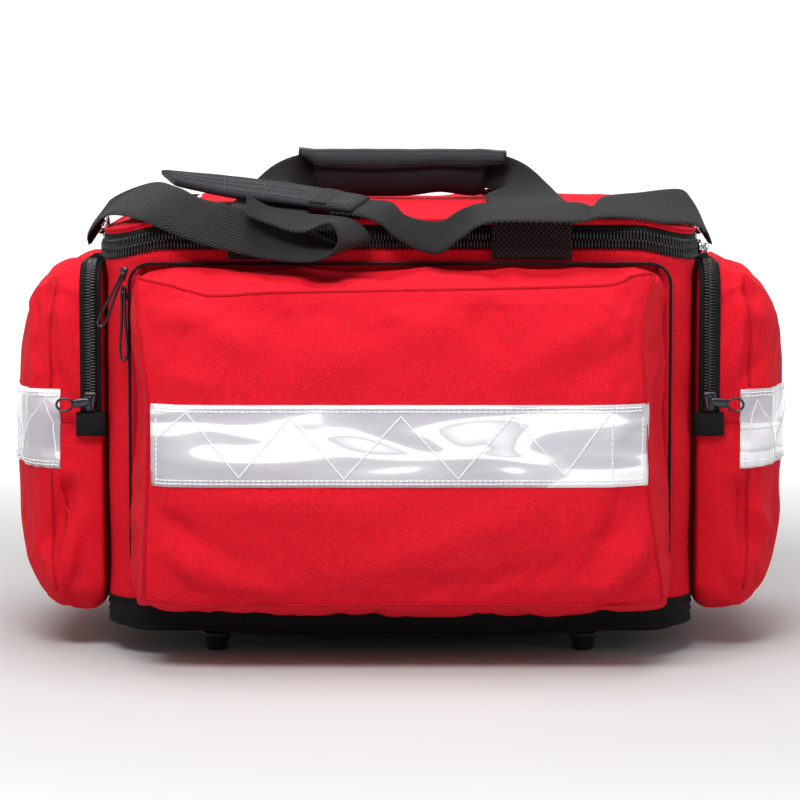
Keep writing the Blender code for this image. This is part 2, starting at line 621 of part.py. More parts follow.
# (near edge, far edge) pairs along the webbing
STRAP_LEFT = [((-0.2020, -0.0440, 0.2560), (-0.1875, -0.0440, 0.2800)),
              ((-0.2005, -0.0580, 0.2640), (-0.1850, -0.0400, 0.2865)),
              ((-0.1860, -0.0850, 0.2770), (-0.1594, -0.0500, 0.2965)),
              ((-0.1620, -0.1280, 0.2765), (-0.1410, -0.0860, 0.2950)),
              ((-0.1360, -0.1400, 0.2665), (-0.1250, -0.1120, 0.2890)),
              ((-0.1100, -0.1500, 0.2590), (-0.1010, -0.1345, 0.2840)),
              ((-0.0750, -0.1650, 0.2535), (-0.0650, -0.1345, 0.2740)),
              ((-0.0500, -0.1700, 0.2540), (-0.0350, -0.1345, 0.2610)),
              ((-0.0379, -0.1700, 0.2640), (-0.0181, -0.1345, 0.2640)),
              ((-0.0430, -0.1660, 0.2755), (-0.0300, -0.1345, 0.2765)),
              ((-0.0600, -0.1630, 0.2700), (-0.0560, -0.1345, 0.2800)),
              ((-0.0780, -0.1590, 0.2740), (-0.0770, -0.1345, 0.2830)),
              ((-0.0950, -0.1500, 0.2800), (-0.0950, -0.1345, 0.2915))]
STRAP_RIGHT = [((-0.0240, -0.1380, 0.2785), (-0.0130, -0.0980, 0.2870)),
               ((-0.0120, -0.1420, 0.2740), (-0.0040, -0.1180, 0.2860)),
               ((0.0000, -0.1430, 0.2640), (0.0050, -0.1330, 0.2790)),
               ((0.0220, -0.1460, 0.2560), (0.0240, -0.1315, 0.2755)),
               ((0.0380, -0.1500, 0.2660), (0.0400, -0.1250, 0.2830)),
               ((0.0560, -0.1500, 0.2760), (0.0560, -0.1060, 0.2858)),
               ((0.1080, -0.1500, 0.2760), (0.1080, -0.1060, 0.2858)),
               ((0.1220, -0.1450, 0.2780), (0.1200, -0.1150, 0.2840)),
               ((0.1440, -0.1310, 0.2775), (0.1290, -0.0840, 0.2885)),
               ((0.1660, -0.1270, 0.2745), (0.1550, -0.0660, 0.2905)),
               ((0.1835, -0.0930, 0.2725), (0.1780, -0.0480, 0.2920)),
               ((0.1965, -0.0620, 0.2650), (0.1860, -0.0420, 0.2885)),
               ((0.2020, -0.0440, 0.2560), (0.1875, -0.0440, 0.2800))]
PAD = [((-0.1445, -0.0600, 0.2960), (-0.1556, -0.0280, 0.3025)),
       ((-0.1100, -0.0880, 0.2900), (-0.1120, -0.0360, 0.2990)),
       ((-0.0747, -0.1130, 0.2865), (-0.0660, -0.0620, 0.2945)),
       ((-0.0300, -0.1340, 0.2820), (-0.0190, -0.0950, 0.2880))]
PAD_THICK = 0.0060


def build_strap():
    """Shoulder strap lying over the lid's front edge, with its sliding pad."""
    from_bmesh("strap_left", ribbon(STRAP_LEFT, STRAP_THICK), CHARCOAL, 0.85)
    from_bmesh("strap_right", ribbon(STRAP_RIGHT, STRAP_THICK), CHARCOAL, 0.85)
    from_bmesh("shoulder_pad", ribbon(PAD, PAD_THICK), CHARCOAL, 0.7)
    corners = [(-0.1480, -0.0760, 0.2868), (-0.1300, -0.0790, 0.2868),
               (-0.1290, -0.0420, 0.2875), (-0.1480, -0.0390, 0.2875)]
    wire("strap_adjuster", corners, 0.0013, CHROME, 0.25, 1.0, True)


# ---- build ----------------------------------------------------------------
clear_scene()
build_base()
build_body()
build_main_zip()
build_lid()
build_front_pocket()
build_end_pocket(-1, "left")
build_end_pocket(1, "right")
build_pocket_sliders()
build_main_slider()
build_handles()
build_ring(-1, "left")
build_ring(1, "right")
build_strap()
for piece in bpy.context.scene.objects:
    piece.location.y += CENTRE_SHIFT
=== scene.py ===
"""Looks of the trauma holdall: cloth body, box pockets, zips, webbing handles and shoulder strap.

Points are in metres, drawn about the middle of the main compartment, and moved back by
SHIFT as each mesh is made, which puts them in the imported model's frame.
"""
import math

import bpy
import bmesh
import numpy as np
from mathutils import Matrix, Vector, noise
from mathutils.bvhtree import BVHTree


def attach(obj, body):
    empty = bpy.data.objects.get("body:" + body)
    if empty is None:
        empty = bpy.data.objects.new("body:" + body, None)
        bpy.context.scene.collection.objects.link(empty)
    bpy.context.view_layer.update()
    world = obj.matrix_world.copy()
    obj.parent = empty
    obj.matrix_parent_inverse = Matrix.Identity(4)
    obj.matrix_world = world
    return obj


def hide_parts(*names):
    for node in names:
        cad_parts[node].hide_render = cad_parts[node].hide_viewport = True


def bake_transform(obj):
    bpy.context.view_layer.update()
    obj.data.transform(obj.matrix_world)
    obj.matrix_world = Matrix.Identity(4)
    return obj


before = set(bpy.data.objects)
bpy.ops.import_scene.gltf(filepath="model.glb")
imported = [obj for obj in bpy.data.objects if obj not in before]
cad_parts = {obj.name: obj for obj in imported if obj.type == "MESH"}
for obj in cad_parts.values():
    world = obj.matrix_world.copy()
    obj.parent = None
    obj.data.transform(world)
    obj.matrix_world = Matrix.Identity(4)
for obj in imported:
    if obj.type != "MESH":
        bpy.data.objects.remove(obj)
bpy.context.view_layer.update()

SHIFT = 0.02715                 # the body's middle is this far behind the whole bag's middle
SCENE = bpy.context.scene
HALF_X, HALF_Y, CORNER = 0.186, 0.125, 0.034
WALL_LOW, WALL_TOP, WALL_HIDDEN = 0.0345, 0.2535, 0.259
ZIP_SPLIT = 0.2637
TAPE_LOW, TAPE_HIGH = 0.1172, 0.1676            # edges of the reflective tape
SEAM_IN = (0.0022, 0.0042)                      # the tape's two stitch rows, in from its edges
TAPE_LIFT = 0.0012
WEB_THICK = 0.0021
POCKET_FACE = -0.187                            # the front panel is held back from bulging past this
BULGE = 0.005
END_ZIP_X, END_ZIP_Y = 0.1955, -0.1083
HOOK_Z, BAR_Z = 0.265, 0.2548


# ---- materials ------------------------------------------------------------
class Look:
    """A material's node tree, with short ways to add nodes to it."""

    def __init__(self, name, rough=0.6, metal=0.0, colour=(0.5, 0.5, 0.5), **sockets):
        self.mat = bpy.data.materials.new(name)
        self.mat.use_nodes = True
        self.tree = self.mat.node_tree
        self.shader = self.tree.nodes["Principled BSDF"]
        self.shader.inputs["Base Color"].default_value = (*colour, 1)
        self.shader.inputs["Roughness"].default_value = rough
        self.shader.inputs["Metallic"].default_value = metal
        for socket, value in sockets.items():
            self.shader.inputs[socket.replace("_", " ")].default_value = value
        self.mat.diffuse_color = (*colour, 1)

    def node(self, kind, **settings):
        made = self.tree.nodes.new("ShaderNode" + kind)
        for key, value in settings.items():
            setattr(made, key, value)
        return made

    def put(self, socket, value):
        if isinstance(value, bpy.types.NodeSocket):
            self.tree.links.new(value, socket)
        else:
            socket.default_value = value

    def math(self, operation, a, b=0.0):
        made = self.node("Math", operation=operation)
        self.put(made.inputs[0], a)
        self.put(made.inputs[1], b)
        return made.outputs[0]

    def vector(self, operation, a, b=(0, 0, 0), out="Vector"):
        made = self.node("VectorMath", operation=operation)
        self.put(made.inputs[0], a)
        self.put(made.inputs[1], b)
        return made.outputs[out]

    def coords(self, kind="Object"):
        return self.node("TexCoord").outputs[kind]

    def noise(self, scale, detail=3.0, vector=None, rough=0.5, distortion=0.0):
        made = self.node("TexNoise")
        made.inputs["Scale"].default_value = scale
        made.inputs["Detail"].default_value = detail
        made.inputs["Roughness"].default_value = rough
        made.inputs["Distortion"].default_value = distortion
        self.put(made.inputs["Vector"], vector or self.coords())
        return made.outputs[0]

    def ramp(self, factor, stops):
        made = self.node("ValToRGB")
        while len(made.color_ramp.elements) < len(stops):
            made.color_ramp.elements.new(0.5)
        for element, (place, colour) in zip(made.color_ramp.elements, stops):
            element.position = place
            element.color = (*colour, 1)
        self.put(made.inputs[0], factor)
        return made.outputs[0]

    def mix(self, factor, a, b, blend="MIX"):
        made = self.node("Mix", data_type="RGBA", blend_type=blend)
        self.put(made.inputs[0], factor)
        self.put(made.inputs[6], a if isinstance(a, bpy.types.NodeSocket) else (*a, 1))
        self.put(made.inputs[7], b if isinstance(b, bpy.types.NodeSocket) else (*b, 1))
        return made.outputs[2]

    def bump(self, height, distance, strength=1.0, normal=None):
        made = self.node("Bump")
        made.inputs["Distance"].default_value = distance
        made.inputs["Strength"].default_value = strength
        self.put(made.inputs["Height"], height)
        if normal is not None:
            self.put(made.inputs["Normal"], normal)
        return made.outputs[0]

    def colour(self, value):
        self.put(self.shader.inputs["Base Color"], value)

    def normal(self, value):
        self.put(self.shader.inputs["Normal"], value)

    def rough(self, value):
        self.put(self.shader.inputs["Roughness"], value)

    def weave(self, pitch):
        """Plain weave on whichever axis plane the surface faces, from -1 to 1."""
        k = math.tau / pitch
        waves = self.vector("SINE", self.vector("MULTIPLY", self.coords(), (k, k, k)))
        parts = self.node("SeparateXYZ")
        self.put(parts.inputs[0], waves)
        sx, sy, sz = parts.outputs
        products = self.node("CombineXYZ")
        for socket, (a, b) in zip(products.inputs, ((sy, sz), (sx, sz), (sx, sy))):
            self.put(socket, self.math("MULTIPLY", a, b))
        facing = self.vector("ABSOLUTE", self.coords("Normal"))
        for _ in range(3):
            facing = self.vector("MULTIPLY", facing, facing)
        top = self.vector("DOT_PRODUCT", facing, products.outputs[0], "Value")
        total = self.vector("DOT_PRODUCT", facing, (1, 1, 1), "Value")
        return self.math("DIVIDE", top, total)


def cloth_look(name, dark, light, pitch=0.0012, depth=0.00022, rough=0.78, sheen=0.08):
    """Coated polyester: thread weave, slubs, and slow shifts of shade."""
    look = Look(name, rough=rough, colour=light, Sheen_Weight=sheen, Sheen_Roughness=0.45)
    look.shader.inputs["Specular IOR Level"].default_value = 0.14
    look.shader.inputs["Sheen Tint"].default_value = (*[min(1, c * 1.3 + 0.1) for c in light], 1)
    weave = look.weave(pitch)
    shade = look.noise(14.0, 2.0)
    slub = look.noise(900.0, 2.0)
    base = look.mix(shade, dark, light)
    thread = look.math("MULTIPLY_ADD", weave, 0.22)
    thread.node.inputs[2].default_value = 0.5
    thread = look.math("ADD", thread, look.math("MULTIPLY", look.math("SUBTRACT", slub, 0.5), 0.5))
    deep = tuple(c * 0.62 for c in dark)
    bright = tuple(min(1, c * 1.25 + 0.004) for c in light)
    threads = look.ramp(thread, [(0.3, deep), (0.7, bright)])
    look.colour(look.mix(0.8, base, threads))
    height = look.math("ADD", look.math("MULTIPLY", weave, 0.5), slub)
    soft = look.bump(look.noise(160.0, 3.0), 0.0012, 0.35)
    look.normal(look.bump(height, depth, 0.9, soft))
    return look.mat


def webbing_look(name, dark, light, rough=0.7):
    """Heavy nylon webbing: small raised pebbles in rows along U and V, with painted highlights on the pebble tops and
    painted shade in the gaps between them.
    """
    look = Look(name, rough=rough, colour=light, Sheen_Weight=0.04)
    look.shader.inputs["Specular IOR Level"].default_value = 0.3
    parts = look.node("SeparateXYZ")
    look.put(parts.inputs[0], look.coords("UV"))
    along, across = parts.outputs[0], parts.outputs[1]
    length = look.math("SINE", look.math("MULTIPLY", along, math.tau / 0.0036))
    width = look.math("SINE", look.math("MULTIPLY", across, math.tau / 0.0031))
    pebble = look.math("MULTIPLY", length, width)
    fine = look.noise(1300.0, 2.0)
    height = look.math("ADD", pebble, look.math("MULTIPLY", look.math("SUBTRACT", fine, 0.5), 0.5))
    # painted light: the base colour follows the bump height, mostly pebble relief, lighter on the pebble tops as a
    # painted highlight and darker in the gaps as painted shade
    painted_pebble_light = look.math("MULTIPLY_ADD", height, 0.42)
    painted_pebble_light.node.inputs[2].default_value = 0.45
    look.colour(look.ramp(painted_pebble_light, [(0.38, dark), (0.92, light)]))
    look.normal(look.bump(height, 0.00075, 1.0))
    return look.mat


def plastic_look(name, colour, rough=0.4, grain=420.0, depth=0.0001):
    look = Look(name, rough=rough, colour=colour)
    speck = look.noise(grain, 3.0)
    look.colour(look.ramp(speck, [(0.3, tuple(c * 0.7 for c in colour)),
                                  (0.7, tuple(c * 1.3 + 0.002 for c in colour))]))
    look.rough(look.math("MULTIPLY_ADD", speck, 0.2))
    look.shader.inputs["Roughness"].links[0].from_node.inputs[2].default_value = rough - 0.1
    look.normal(look.bump(speck, depth, 0.6))
    return look.mat


def metal_look(name, colour, rough):
    look = Look(name, rough=rough, metal=1.0, colour=colour)
    wear = look.noise(260.0, 4.0)
    look.rough(look.math("MULTIPLY_ADD", wear, 0.14))
    look.shader.inputs["Roughness"].links[0].from_node.inputs[2].default_value = rough - 0.05
    look.colour(look.ramp(look.noise(90.0), [(0.3, tuple(c * 0.82 for c in colour)), (0.7, colour)]))
    look.normal(look.bump(wear, 0.00004, 0.4))
    return look.mat


def strip_look():
    """Clear glossy film over silver reflective cloth, with creases; its soft bright streaks and thin bright crease
    lines are painted reflections and painted highlights in the base colour.
    """
    look = Look("strip_silver", rough=0.24, colour=(0.5, 0.5, 0.56), Coat_Weight=0.9,
                Coat_Roughness=0.05)
    turn = look.node("Mapping")
    look.put(turn.inputs["Vector"], look.coords())
    turn.inputs["Rotation"].default_value = (0, math.radians(-11), 0)
    turn.inputs["Scale"].default_value = (1.0, 1.0, 4.2)
    painted_reflection_and_wave = look.noise(9.5, 1.2, turn.outputs[0], 0.4, 0.7)
    # painted reflections: broad soft bright streaks, as of lamps seen in the wavy film, painted into the base colour
    # from the same noise that waves the surface
    soft = look.ramp(painted_reflection_and_wave, [(0.34, (0.44, 0.42, 0.47)), (0.47, (0.53, 0.51, 0.56)),
                              (0.505, (0.62, 0.6, 0.65)), (0.515, (0.9, 0.9, 0.93)),
                              (0.6, (0.96, 0.96, 0.98)), (0.612, (0.6, 0.58, 0.63)),
                              (0.66, (0.86, 0.86, 0.9))])
    crease_and_painted_glint = look.noise(24.0, 1.5, turn.outputs[0], 0.4, 1.1)
    # painted highlights: thin bright lines along the creases, mixed towards near white in the base colour
    lines = look.ramp(crease_and_painted_glint, [(0.47, (0, 0, 0)), (0.495, (1, 1, 1)), (0.5, (0, 0, 0))])
    look.colour(look.mix(look.math("MULTIPLY", lines, 0.12), soft, (0.96, 0.96, 0.98)))
    grid = look.weave(0.0022)
    wave = look.bump(painted_reflection_and_wave, 0.005, 0.4)
    wave = look.bump(crease_and_painted_glint, 0.0008, 0.3, wave)
    look.normal(look.bump(grid, 0.00006, 0.35, wave))
    return look.mat


RED = cloth_look("red_polyester", (0.6, 0.0008, 0.017), (0.85, 0.008, 0.021), 0.0018, 0.00034,
                 0.8, 0.03)
RED_EDGE = cloth_look("red_edge", (0.42, 0.001, 0.012), (0.6, 0.004, 0.015), 0.0013, 0.0003,
                      0.8, 0.03)
BLACK = cloth_look("black_polyester", (0.004, 0.004, 0.005), (0.01, 0.01, 0.011), 0.0014, 0.0003)
LINING = cloth_look("black_lining", (0.006, 0.006, 0.007), (0.012, 0.012, 0.013), 0.0008)
TAPE = cloth_look("zip_tape", (0.003, 0.003, 0.004), (0.008, 0.008, 0.009), 0.0009, 0.0001, 0.7, 0.03)
NYLON = cloth_look("smooth_nylon", (0.006, 0.006, 0.008), (0.012, 0.012, 0.015), 0.0006, 0.00006,
                   0.36, 0.08)
PAD_CLOTH = cloth_look("pad_nylon", (0.01, 0.01, 0.013), (0.019, 0.02, 0.024), 0.0009, 0.00012,
                       0.5, 0.08)
LOOP_CLOTH = cloth_look("divider_loop", (0.2, 0.2, 0.22), (0.32, 0.32, 0.34), 0.0009, 0.0003, 0.9)
# webbing colours: the first is the painted shade in the gaps between pebbles, the second the painted highlight on
# their tops
WEB = webbing_look("webbing_black", (0.001, 0.001, 0.0013), (0.042, 0.042, 0.044))
COIL = plastic_look("zip_coil", (0.008, 0.008, 0.009), 0.3)
FOOT = plastic_look("foot_plastic", (0.008, 0.008, 0.009), 0.45)
BOARD = plastic_look("stiffener", (0.05, 0.05, 0.05), 0.7)
CHROME = metal_look("chrome_plate", (0.82, 0.82, 0.84), 0.14)
GUNMETAL = metal_look("black_nickel", (0.07, 0.07, 0.08), 0.28)
# the reflective strip's bright streaks and crease lines are painted reflections and painted highlights in its colour
SILVER = strip_look()
WHITE_THREAD = plastic_look("white_thread", (0.92, 0.92, 0.94), 0.7, 2000.0)
BLACK_THREAD = plastic_look("black_thread", (0.01, 0.01, 0.011), 0.6, 2000.0)
GREY_THREAD = plastic_look("grey_thread", (0.07, 0.07, 0.08), 0.6, 2000.0)


# ---- mesh tools -----------------------------------------------------------
def smoothstep(t):
    t = min(1.0, max(0.0, t))
    return t * t * (3 - 2 * t)


def turns(count):
    """Angles evenly round a circle."""
    return [math.tau * k / count for k in range(count)]


def squarer(value, power):
    """A sine or cosine moved towards 1 or -1, which squares off a circle."""
    return math.copysign(abs(value) ** power, value)


def wobble(x, y, z):
    return noise.noise(Vector((x, y, z)))


def rim_drop(x):
    return 0.007 * smoothstep((abs(x) - 0.145) / 0.041)


def make(name, points, faces, mat, uv=None):
    """A mesh object from points about the body's middle; uv is one pair per face corner."""
    mesh = bpy.data.meshes.new(name)
    moved = [(p[0], p[1] + SHIFT, p[2]) for p in points]
    mesh.from_pydata(moved, [], faces)
    if uv is not None:
        layer = mesh.uv_layers.new(name="cloth")
        layer.data.foreach_set("uv", np.array(uv, np.float32).ravel())
    mesh.materials.append(mat)
    mesh.shade_smooth()
    obj = bpy.data.objects.new(name, mesh)
    SCENE.collection.objects.link(obj)
    return obj


def skin(name, loops, mat, closed=True, caps=None, ring=False):
    """Skin equal loops of points, with U along the loops' order and V along each loop.

    Closed loops that don't join up as a ring are capped, unless caps says otherwise.
    """
    caps = caps or (closed and not ring,) * 2
    count = len(loops[0])
    points = [p for loop in loops for p in loop]
    middle = [Vector(loop[count // 2]) for loop in loops]
    run = [0.0]
    for a, b in zip(middle, middle[1:] + middle[:1]):
        run.append(run[-1] + (b - a).length)
    widest = max(loops, key=lambda lp: sum((Vector(a) - Vector(b)).length
                                           for a, b in zip(lp, lp[1:])))
    across = [0.0]
    for a, b in zip(widest, widest[1:] + widest[:1]):
        across.append(across[-1] + (Vector(b) - Vector(a)).length)
    faces, uv = [], []
    rows = len(loops)
    for i in range(rows if ring else rows - 1):
        n = (i + 1) % rows
        for k in range(count if closed else count - 1):
            m = (k + 1) % count
            faces.append((i * count + k, i * count + m, n * count + m, n * count + k))
            uv += [(run[i], across[k]), (run[i], across[k + 1]),
                   (run[i + 1], across[k + 1]), (run[i + 1], across[k])]
    for on, row in zip(caps, (0, rows - 1)):
        if on:
            faces.append(tuple(row * count + k for k in range(count)))
            uv += [(run[row], across[k]) for k in range(count)]
    obj = make(name, points, faces, mat, uv)
    fix_normals(obj)
    return obj


def fix_normals(obj):
    bm = bmesh.new()
    bm.from_mesh(obj.data)
    bmesh.ops.recalc_face_normals(bm, faces=bm.faces)
    bm.to_mesh(obj.data)
    bm.free()


def spline(points, per):
    """Catmull-Rom curve through points, per steps to each span."""
    pts = [Vector(p) for p in points]
    pts = [pts[0] * 2 - pts[1]] + pts + [pts[-1] * 2 - pts[-2]]
    out = []
    for a, b, c, d in zip(pts, pts[1:], pts[2:], pts[3:]):
        for k in range(per):
            t = k / per
            out.append(0.5 * ((2 * b) + (c - a) * t + (2 * a - 5 * b + 4 * c - d) * t * t
                              + (3 * b - a - 3 * c + d) * t ** 3))
    return out + [pts[-2]]


def even(points, step):
    """Points spaced evenly along a polyline."""
    pts = [Vector(p) for p in points]
    lengths = [0.0]
    for a, b in zip(pts, pts[1:]):
        lengths.append(lengths[-1] + (b - a).length)
    count = max(2, int(round(lengths[-1] / step)) + 1)
    out, k = [], 0
    for n in range(count):
        want = lengths[-1] * n / (count - 1)
        while k < len(pts) - 2 and lengths[k + 1] < want:
            k += 1
        span = max(lengths[k + 1] - lengths[k], 1e-9)
        out.append(pts[k].lerp(pts[k + 1], min(1.0, (want - lengths[k]) / span)))
    return out


def frames(points, closed=False):
    """Tangent, side and up at each point of a path, turned as little as possible."""
    pts = [Vector(p) for p in points]
    n = len(pts)
    tangents = []
    for k in range(n):
        a = pts[(k - 1) % n] if closed or k else pts[0]
        b = pts[(k + 1) % n] if closed or k < n - 1 else pts[-1]
        tangents.append((b - a).normalized())
    up = Vector((0, 0, 1)) if abs(tangents[0].z) < 0.9 else Vector((0, 1, 0))
    out = []
    for t in tangents:
        up = (up - t * up.dot(t)).normalized()
        out.append((t, t.cross(up), up))
    return out


def tube(name, points, radius, mat, closed=False, sides=10, flat=1.0):
    """Round or flattened wire along points."""
    loops = []
    for p, (t, side, up) in zip(points, frames(points, closed)):
        loops.append([Vector(p) + side * (math.cos(a) * radius) + up * (math.sin(a) * radius * flat)
                      for a in turns(sides)])
    return skin(name, loops, mat, ring=closed)


def join(name, objs):
    """Join objects, keeping their materials, into one piece."""
    bpy.ops.object.select_all(action="DESELECT")
    for obj in objs:
        obj.select_set(True)
    bpy.context.view_layer.objects.active = objs[0]
    bpy.ops.object.join()
    objs[0].name = name
    objs[0].data.name = name
    return objs[0]


def ribbon(name, edges, thick, mat, per=8, across=14, curl=0.0, ripple=0.0):
    """Webbing between two edge lines, with rounded selvedges and a little curl."""
    near = spline([e[0] for e in edges], per)
    far = spline([e[1] for e in edges], per)
    mids = [(a + b) / 2 for a, b in zip(near, far)]
    loops = []
    for k, (a, b) in enumerate(zip(near, far)):
        before, after = mids[max(k - 1, 0)], mids[min(k + 1, len(mids) - 1)]
        along = (after - before).normalized()
        wide = b - a
        normal = along.cross(wide).normalized()
        line = []
        for j in range(across + 1):
            s = j / across
            bow = curl * (4 * s * (1 - s) - 0.5)
            bow += ripple * wobble(s * 2.0, k * 0.12, 3.7)
            line.append(a + wide * s + normal * bow)
        half = thick / 2
        top = [p + normal * half * (1.0 if 0 < j < across else 0.45) for j, p in enumerate(line)]
        low = [p - normal * half * (1.0 if 0 < j < across else 0.45) for j, p in enumerate(line)]
        loops.append(top + low[::-1])
    return skin(name, loops, mat)


def applied(obj):
    """Bake the object's modifiers into its mesh."""
    graph = bpy.context.evaluated_depsgraph_get()
    mesh = bpy.data.meshes.new_from_object(obj.evaluated_get(graph), preserve_all_data_layers=True,
                                           depsgraph=graph)
    obj.modifiers.clear()
    obj.data = mesh
    return obj


def coords(obj):
    co = np.zeros(len(obj.data.vertices) * 3)
    obj.data.vertices.foreach_get("co", co)
    return co.reshape(-1, 3)


def set_coords(obj, co):
    obj.data.vertices.foreach_set("co", co.astype(np.float32).ravel())
    obj.data.update()


def normals(obj):
    out = np.zeros(len(obj.data.vertices) * 3, np.float32)
    obj.data.vertex_normals.foreach_get("vector", out)
    return out.reshape(-1, 3).astype(float)


def remeshed(obj, voxel):
    mat = obj.data.materials[0]
    modifier = obj.modifiers.new("remesh", "REMESH")
    modifier.mode = "VOXEL"
    modifier.voxel_size = voxel
    applied(obj)
    obj.data.materials.clear()
    obj.data.materials.append(mat)
    obj.data.shade_smooth()
    return obj


def stuffed(obj, pinned, pressure=3.0, cap=0.006, steps=18, slack=0.0):
    """Cloth simulation of a closed shell: it swells against its seams and wrinkles.

    pinned gives each point, about the body's middle, a hold from 0 to 1.
    """
    rest = coords(obj)
    group = obj.vertex_groups.new(name="hold")
    for k, (x, y, z) in enumerate(rest):
        hold = pinned(x, y - SHIFT, z)
        if hold > 0:
            group.add([k], hold, "REPLACE")
    cloth = obj.modifiers.new("cloth", "CLOTH")
    cloth.settings.quality = 4
    cloth.settings.mass = 0.2
    cloth.settings.tension_stiffness = 25
    cloth.settings.compression_stiffness = 12
    cloth.settings.bending_stiffness = 0.35
    cloth.settings.use_pressure = True
    cloth.settings.uniform_pressure_force = pressure
    cloth.settings.vertex_group_mass = "hold"
    cloth.settings.shrink_min = -slack
    cloth.settings.shrink_max = -slack
    cloth.settings.effector_weights.gravity = 0
    cloth.collision_settings.use_collision = False
    cloth.point_cache.frame_end = steps
    for step in range(1, steps + 1):
        SCENE.frame_set(step)
    applied(obj)
    SCENE.frame_set(1)
    obj.vertex_groups.clear()
    move = coords(obj) - rest
    size = np.linalg.norm(move, axis=1, keepdims=True)
    set_coords(obj, rest + move * (cap * np.tanh(size / cap) / np.maximum(size, 1e-9)))
    return obj


def refined(obj, levels=1):
    modifier = obj.modifiers.new("subdivide", "SUBSURF")
    modifier.levels = levels
    modifier.render_levels = levels
    applied(obj)
    obj.data.shade_smooth()
    return obj


def thickened(obj, thickness, offset=0):
    modifier = obj.modifiers.new("thick", "SOLIDIFY")
    modifier.thickness = thickness
    modifier.offset = offset
    if len(obj.data.materials) > 1:
        modifier.material_offset = 1
    return applied(obj)


def creased(obj, height):
    """Move each point along its normal by height(x, y, z), about the body's middle."""
    co, out = coords(obj), normals(obj)
    shift = np.array([height(x, y - SHIFT, z) for x, y, z in co])
    set_coords(obj, co + out * shift[:, None])
    return obj


def folds(rows, u, v):
    """Height at a point in a plane of soft ridges, each two ends, a width and a lift."""
    total = 0.0
    for au, av, bu, bv, width, lift in rows:
        du, dv = bu - au, bv - av
        size = math.hypot(du, dv)
        t = ((u - au) * du + (v - av) * dv) / size ** 2
        off = abs((u - au) * dv - (v - av) * du) / size
        ends = smoothstep(t * 3 + 0.2) * smoothstep((1 - t) * 3 + 0.2)
        total += lift * ends * math.exp(-(off / width) ** 2)
    return total


def tree_of(obj):
    graph = bpy.context.evaluated_depsgraph_get()
    return BVHTree.FromObject(obj, graph)


def onto(tree, point, direction, offset, reach=0.05):
    """The point where a ray meets a surface, lifted off it, and the surface's normal there."""
    start = Vector(point) + Vector((0, SHIFT, 0))
    hit, normal, _, _ = tree.ray_cast(start - Vector(direction) * reach, Vector(direction))
    if hit is None:
        hit, normal, _, _ = tree.find_nearest(start)
    if normal.dot(Vector(direction)) > 0:
        normal = -normal
    return hit + normal * offset - Vector((0, SHIFT, 0)), normal


def laid(tree, points, direction, offset, reach=0.05):
    """A line laid on a surface: its points, and the surface's normals there."""
    return zip(*[onto(tree, p, direction, offset, reach) for p in points])


def nearest(tree, point, offset):
    """The nearest point of a surface, lifted off it."""
    hit, normal, _, _ = tree.find_nearest(Vector(point) + Vector((0, SHIFT, 0)))
    return hit + normal * offset - Vector((0, SHIFT, 0))


def bar_mesh(points, faces, stations, sides):
    """Add one closed bar to points and faces. Each station is a centre and two half axes."""
    base, last = len(points), (len(stations) - 1) * sides
    for centre, u, v in stations:
        points += [centre + u * math.cos(a) + v * math.sin(a) for a in turns(sides)]
    for i in range(base, base + last, sides):
        for n in range(sides):
            m = (n + 1) % sides
            faces.append((i + n, i + m, i + sides + m, i + sides + n))
    faces.append(tuple(base + n for n in range(sides))[::-1])
    faces.append(tuple(base + last + n for n in range(sides)))


STITCH = (
    (-0.5, 0.35, -0.5), (-0.28, 1.0, 0.35), (0.0, 1.1, 0.6), (0.28, 1.0, 0.35), (0.5, 0.35, -0.5))
TOOTH = ((-1.0, 0.45), (-0.8, 0.9), (-0.2, 1.0), (0.45, 0.95), (0.85, 0.85), (1.0, 0.4))


def stitches(name, line, lifts, mat, pitch=0.0032, length=0.0024, radius=0.00028):
    """Separate thread stitches along a line of points, each with its surface normal."""
    lengths = [0.0]
    for a, b in zip(line, line[1:]):
        lengths.append(lengths[-1] + (b - a).length)
    points, faces = [], []
    at, k = pitch / 2, 0
    while at + length / 2 < lengths[-1]:
        while k < len(line) - 2 and lengths[k + 1] < at:
            k += 1
        t = (at - lengths[k]) / max(lengths[k + 1] - lengths[k], 1e-9)
        middle = line[k].lerp(line[k + 1], t)
        along = (line[k + 1] - line[k]).normalized()
        up = lifts[k]
        side = along.cross(up).normalized()
        bar_mesh(points, faces, [
            (middle + along * (place * length) + up * (lift * radius), side * (radius * wide),
             up * (radius * wide)) for place, wide, lift in STITCH], 6)
        at += pitch
    return make(name, points, faces, mat)


def teeth(name, centres, acrosses, ups, mat, half, radius, length):
    """Coil teeth: rounded bars across the zip line, one at each centre."""
    points, faces = [], []
    for middle, across, up in zip(centres, acrosses, ups):
        along = across.cross(up).normalized()
        bar_mesh(points, faces, [
            (middle + across * (place * half), along * (length * wide), up * (radius * wide))
            for place, wide in TOOTH], 8)
    obj = make(name, points, faces, mat)
    fix_normals(obj)
    return obj


def rect(half_u, half_v, radius, side=20, arc=6):
    """Dense rounded rectangle, anticlockwise from the +u side, points evenly placed."""
    out = []
    for corner, (su, sv) in enumerate(((1, 1), (-1, 1), (-1, -1), (1, -1))):
        for k in range(arc + 1):
            angle = math.radians(90 * corner + 90 * k / arc)
            out.append((su * (half_u - radius) + radius * math.cos(angle),
                        sv * (half_v - radius) + radius * math.sin(angle)))
        nu, nv = ((-1, 1), (-1, -1), (1, -1), (1, 1))[corner]
        last = out[-1]
        angle = math.radians(90 * (corner + 1))
        after = (nu * (half_u - radius) + radius * math.cos(angle),
                 nv * (half_v - radius) + radius * math.sin(angle))
        count = side * 2 if corner % 2 == 0 else side
        for k in range(1, count):
            t = k / count
            out.append((last[0] + (after[0] - last[0]) * t, last[1] + (after[1] - last[1]) * t))
    return out


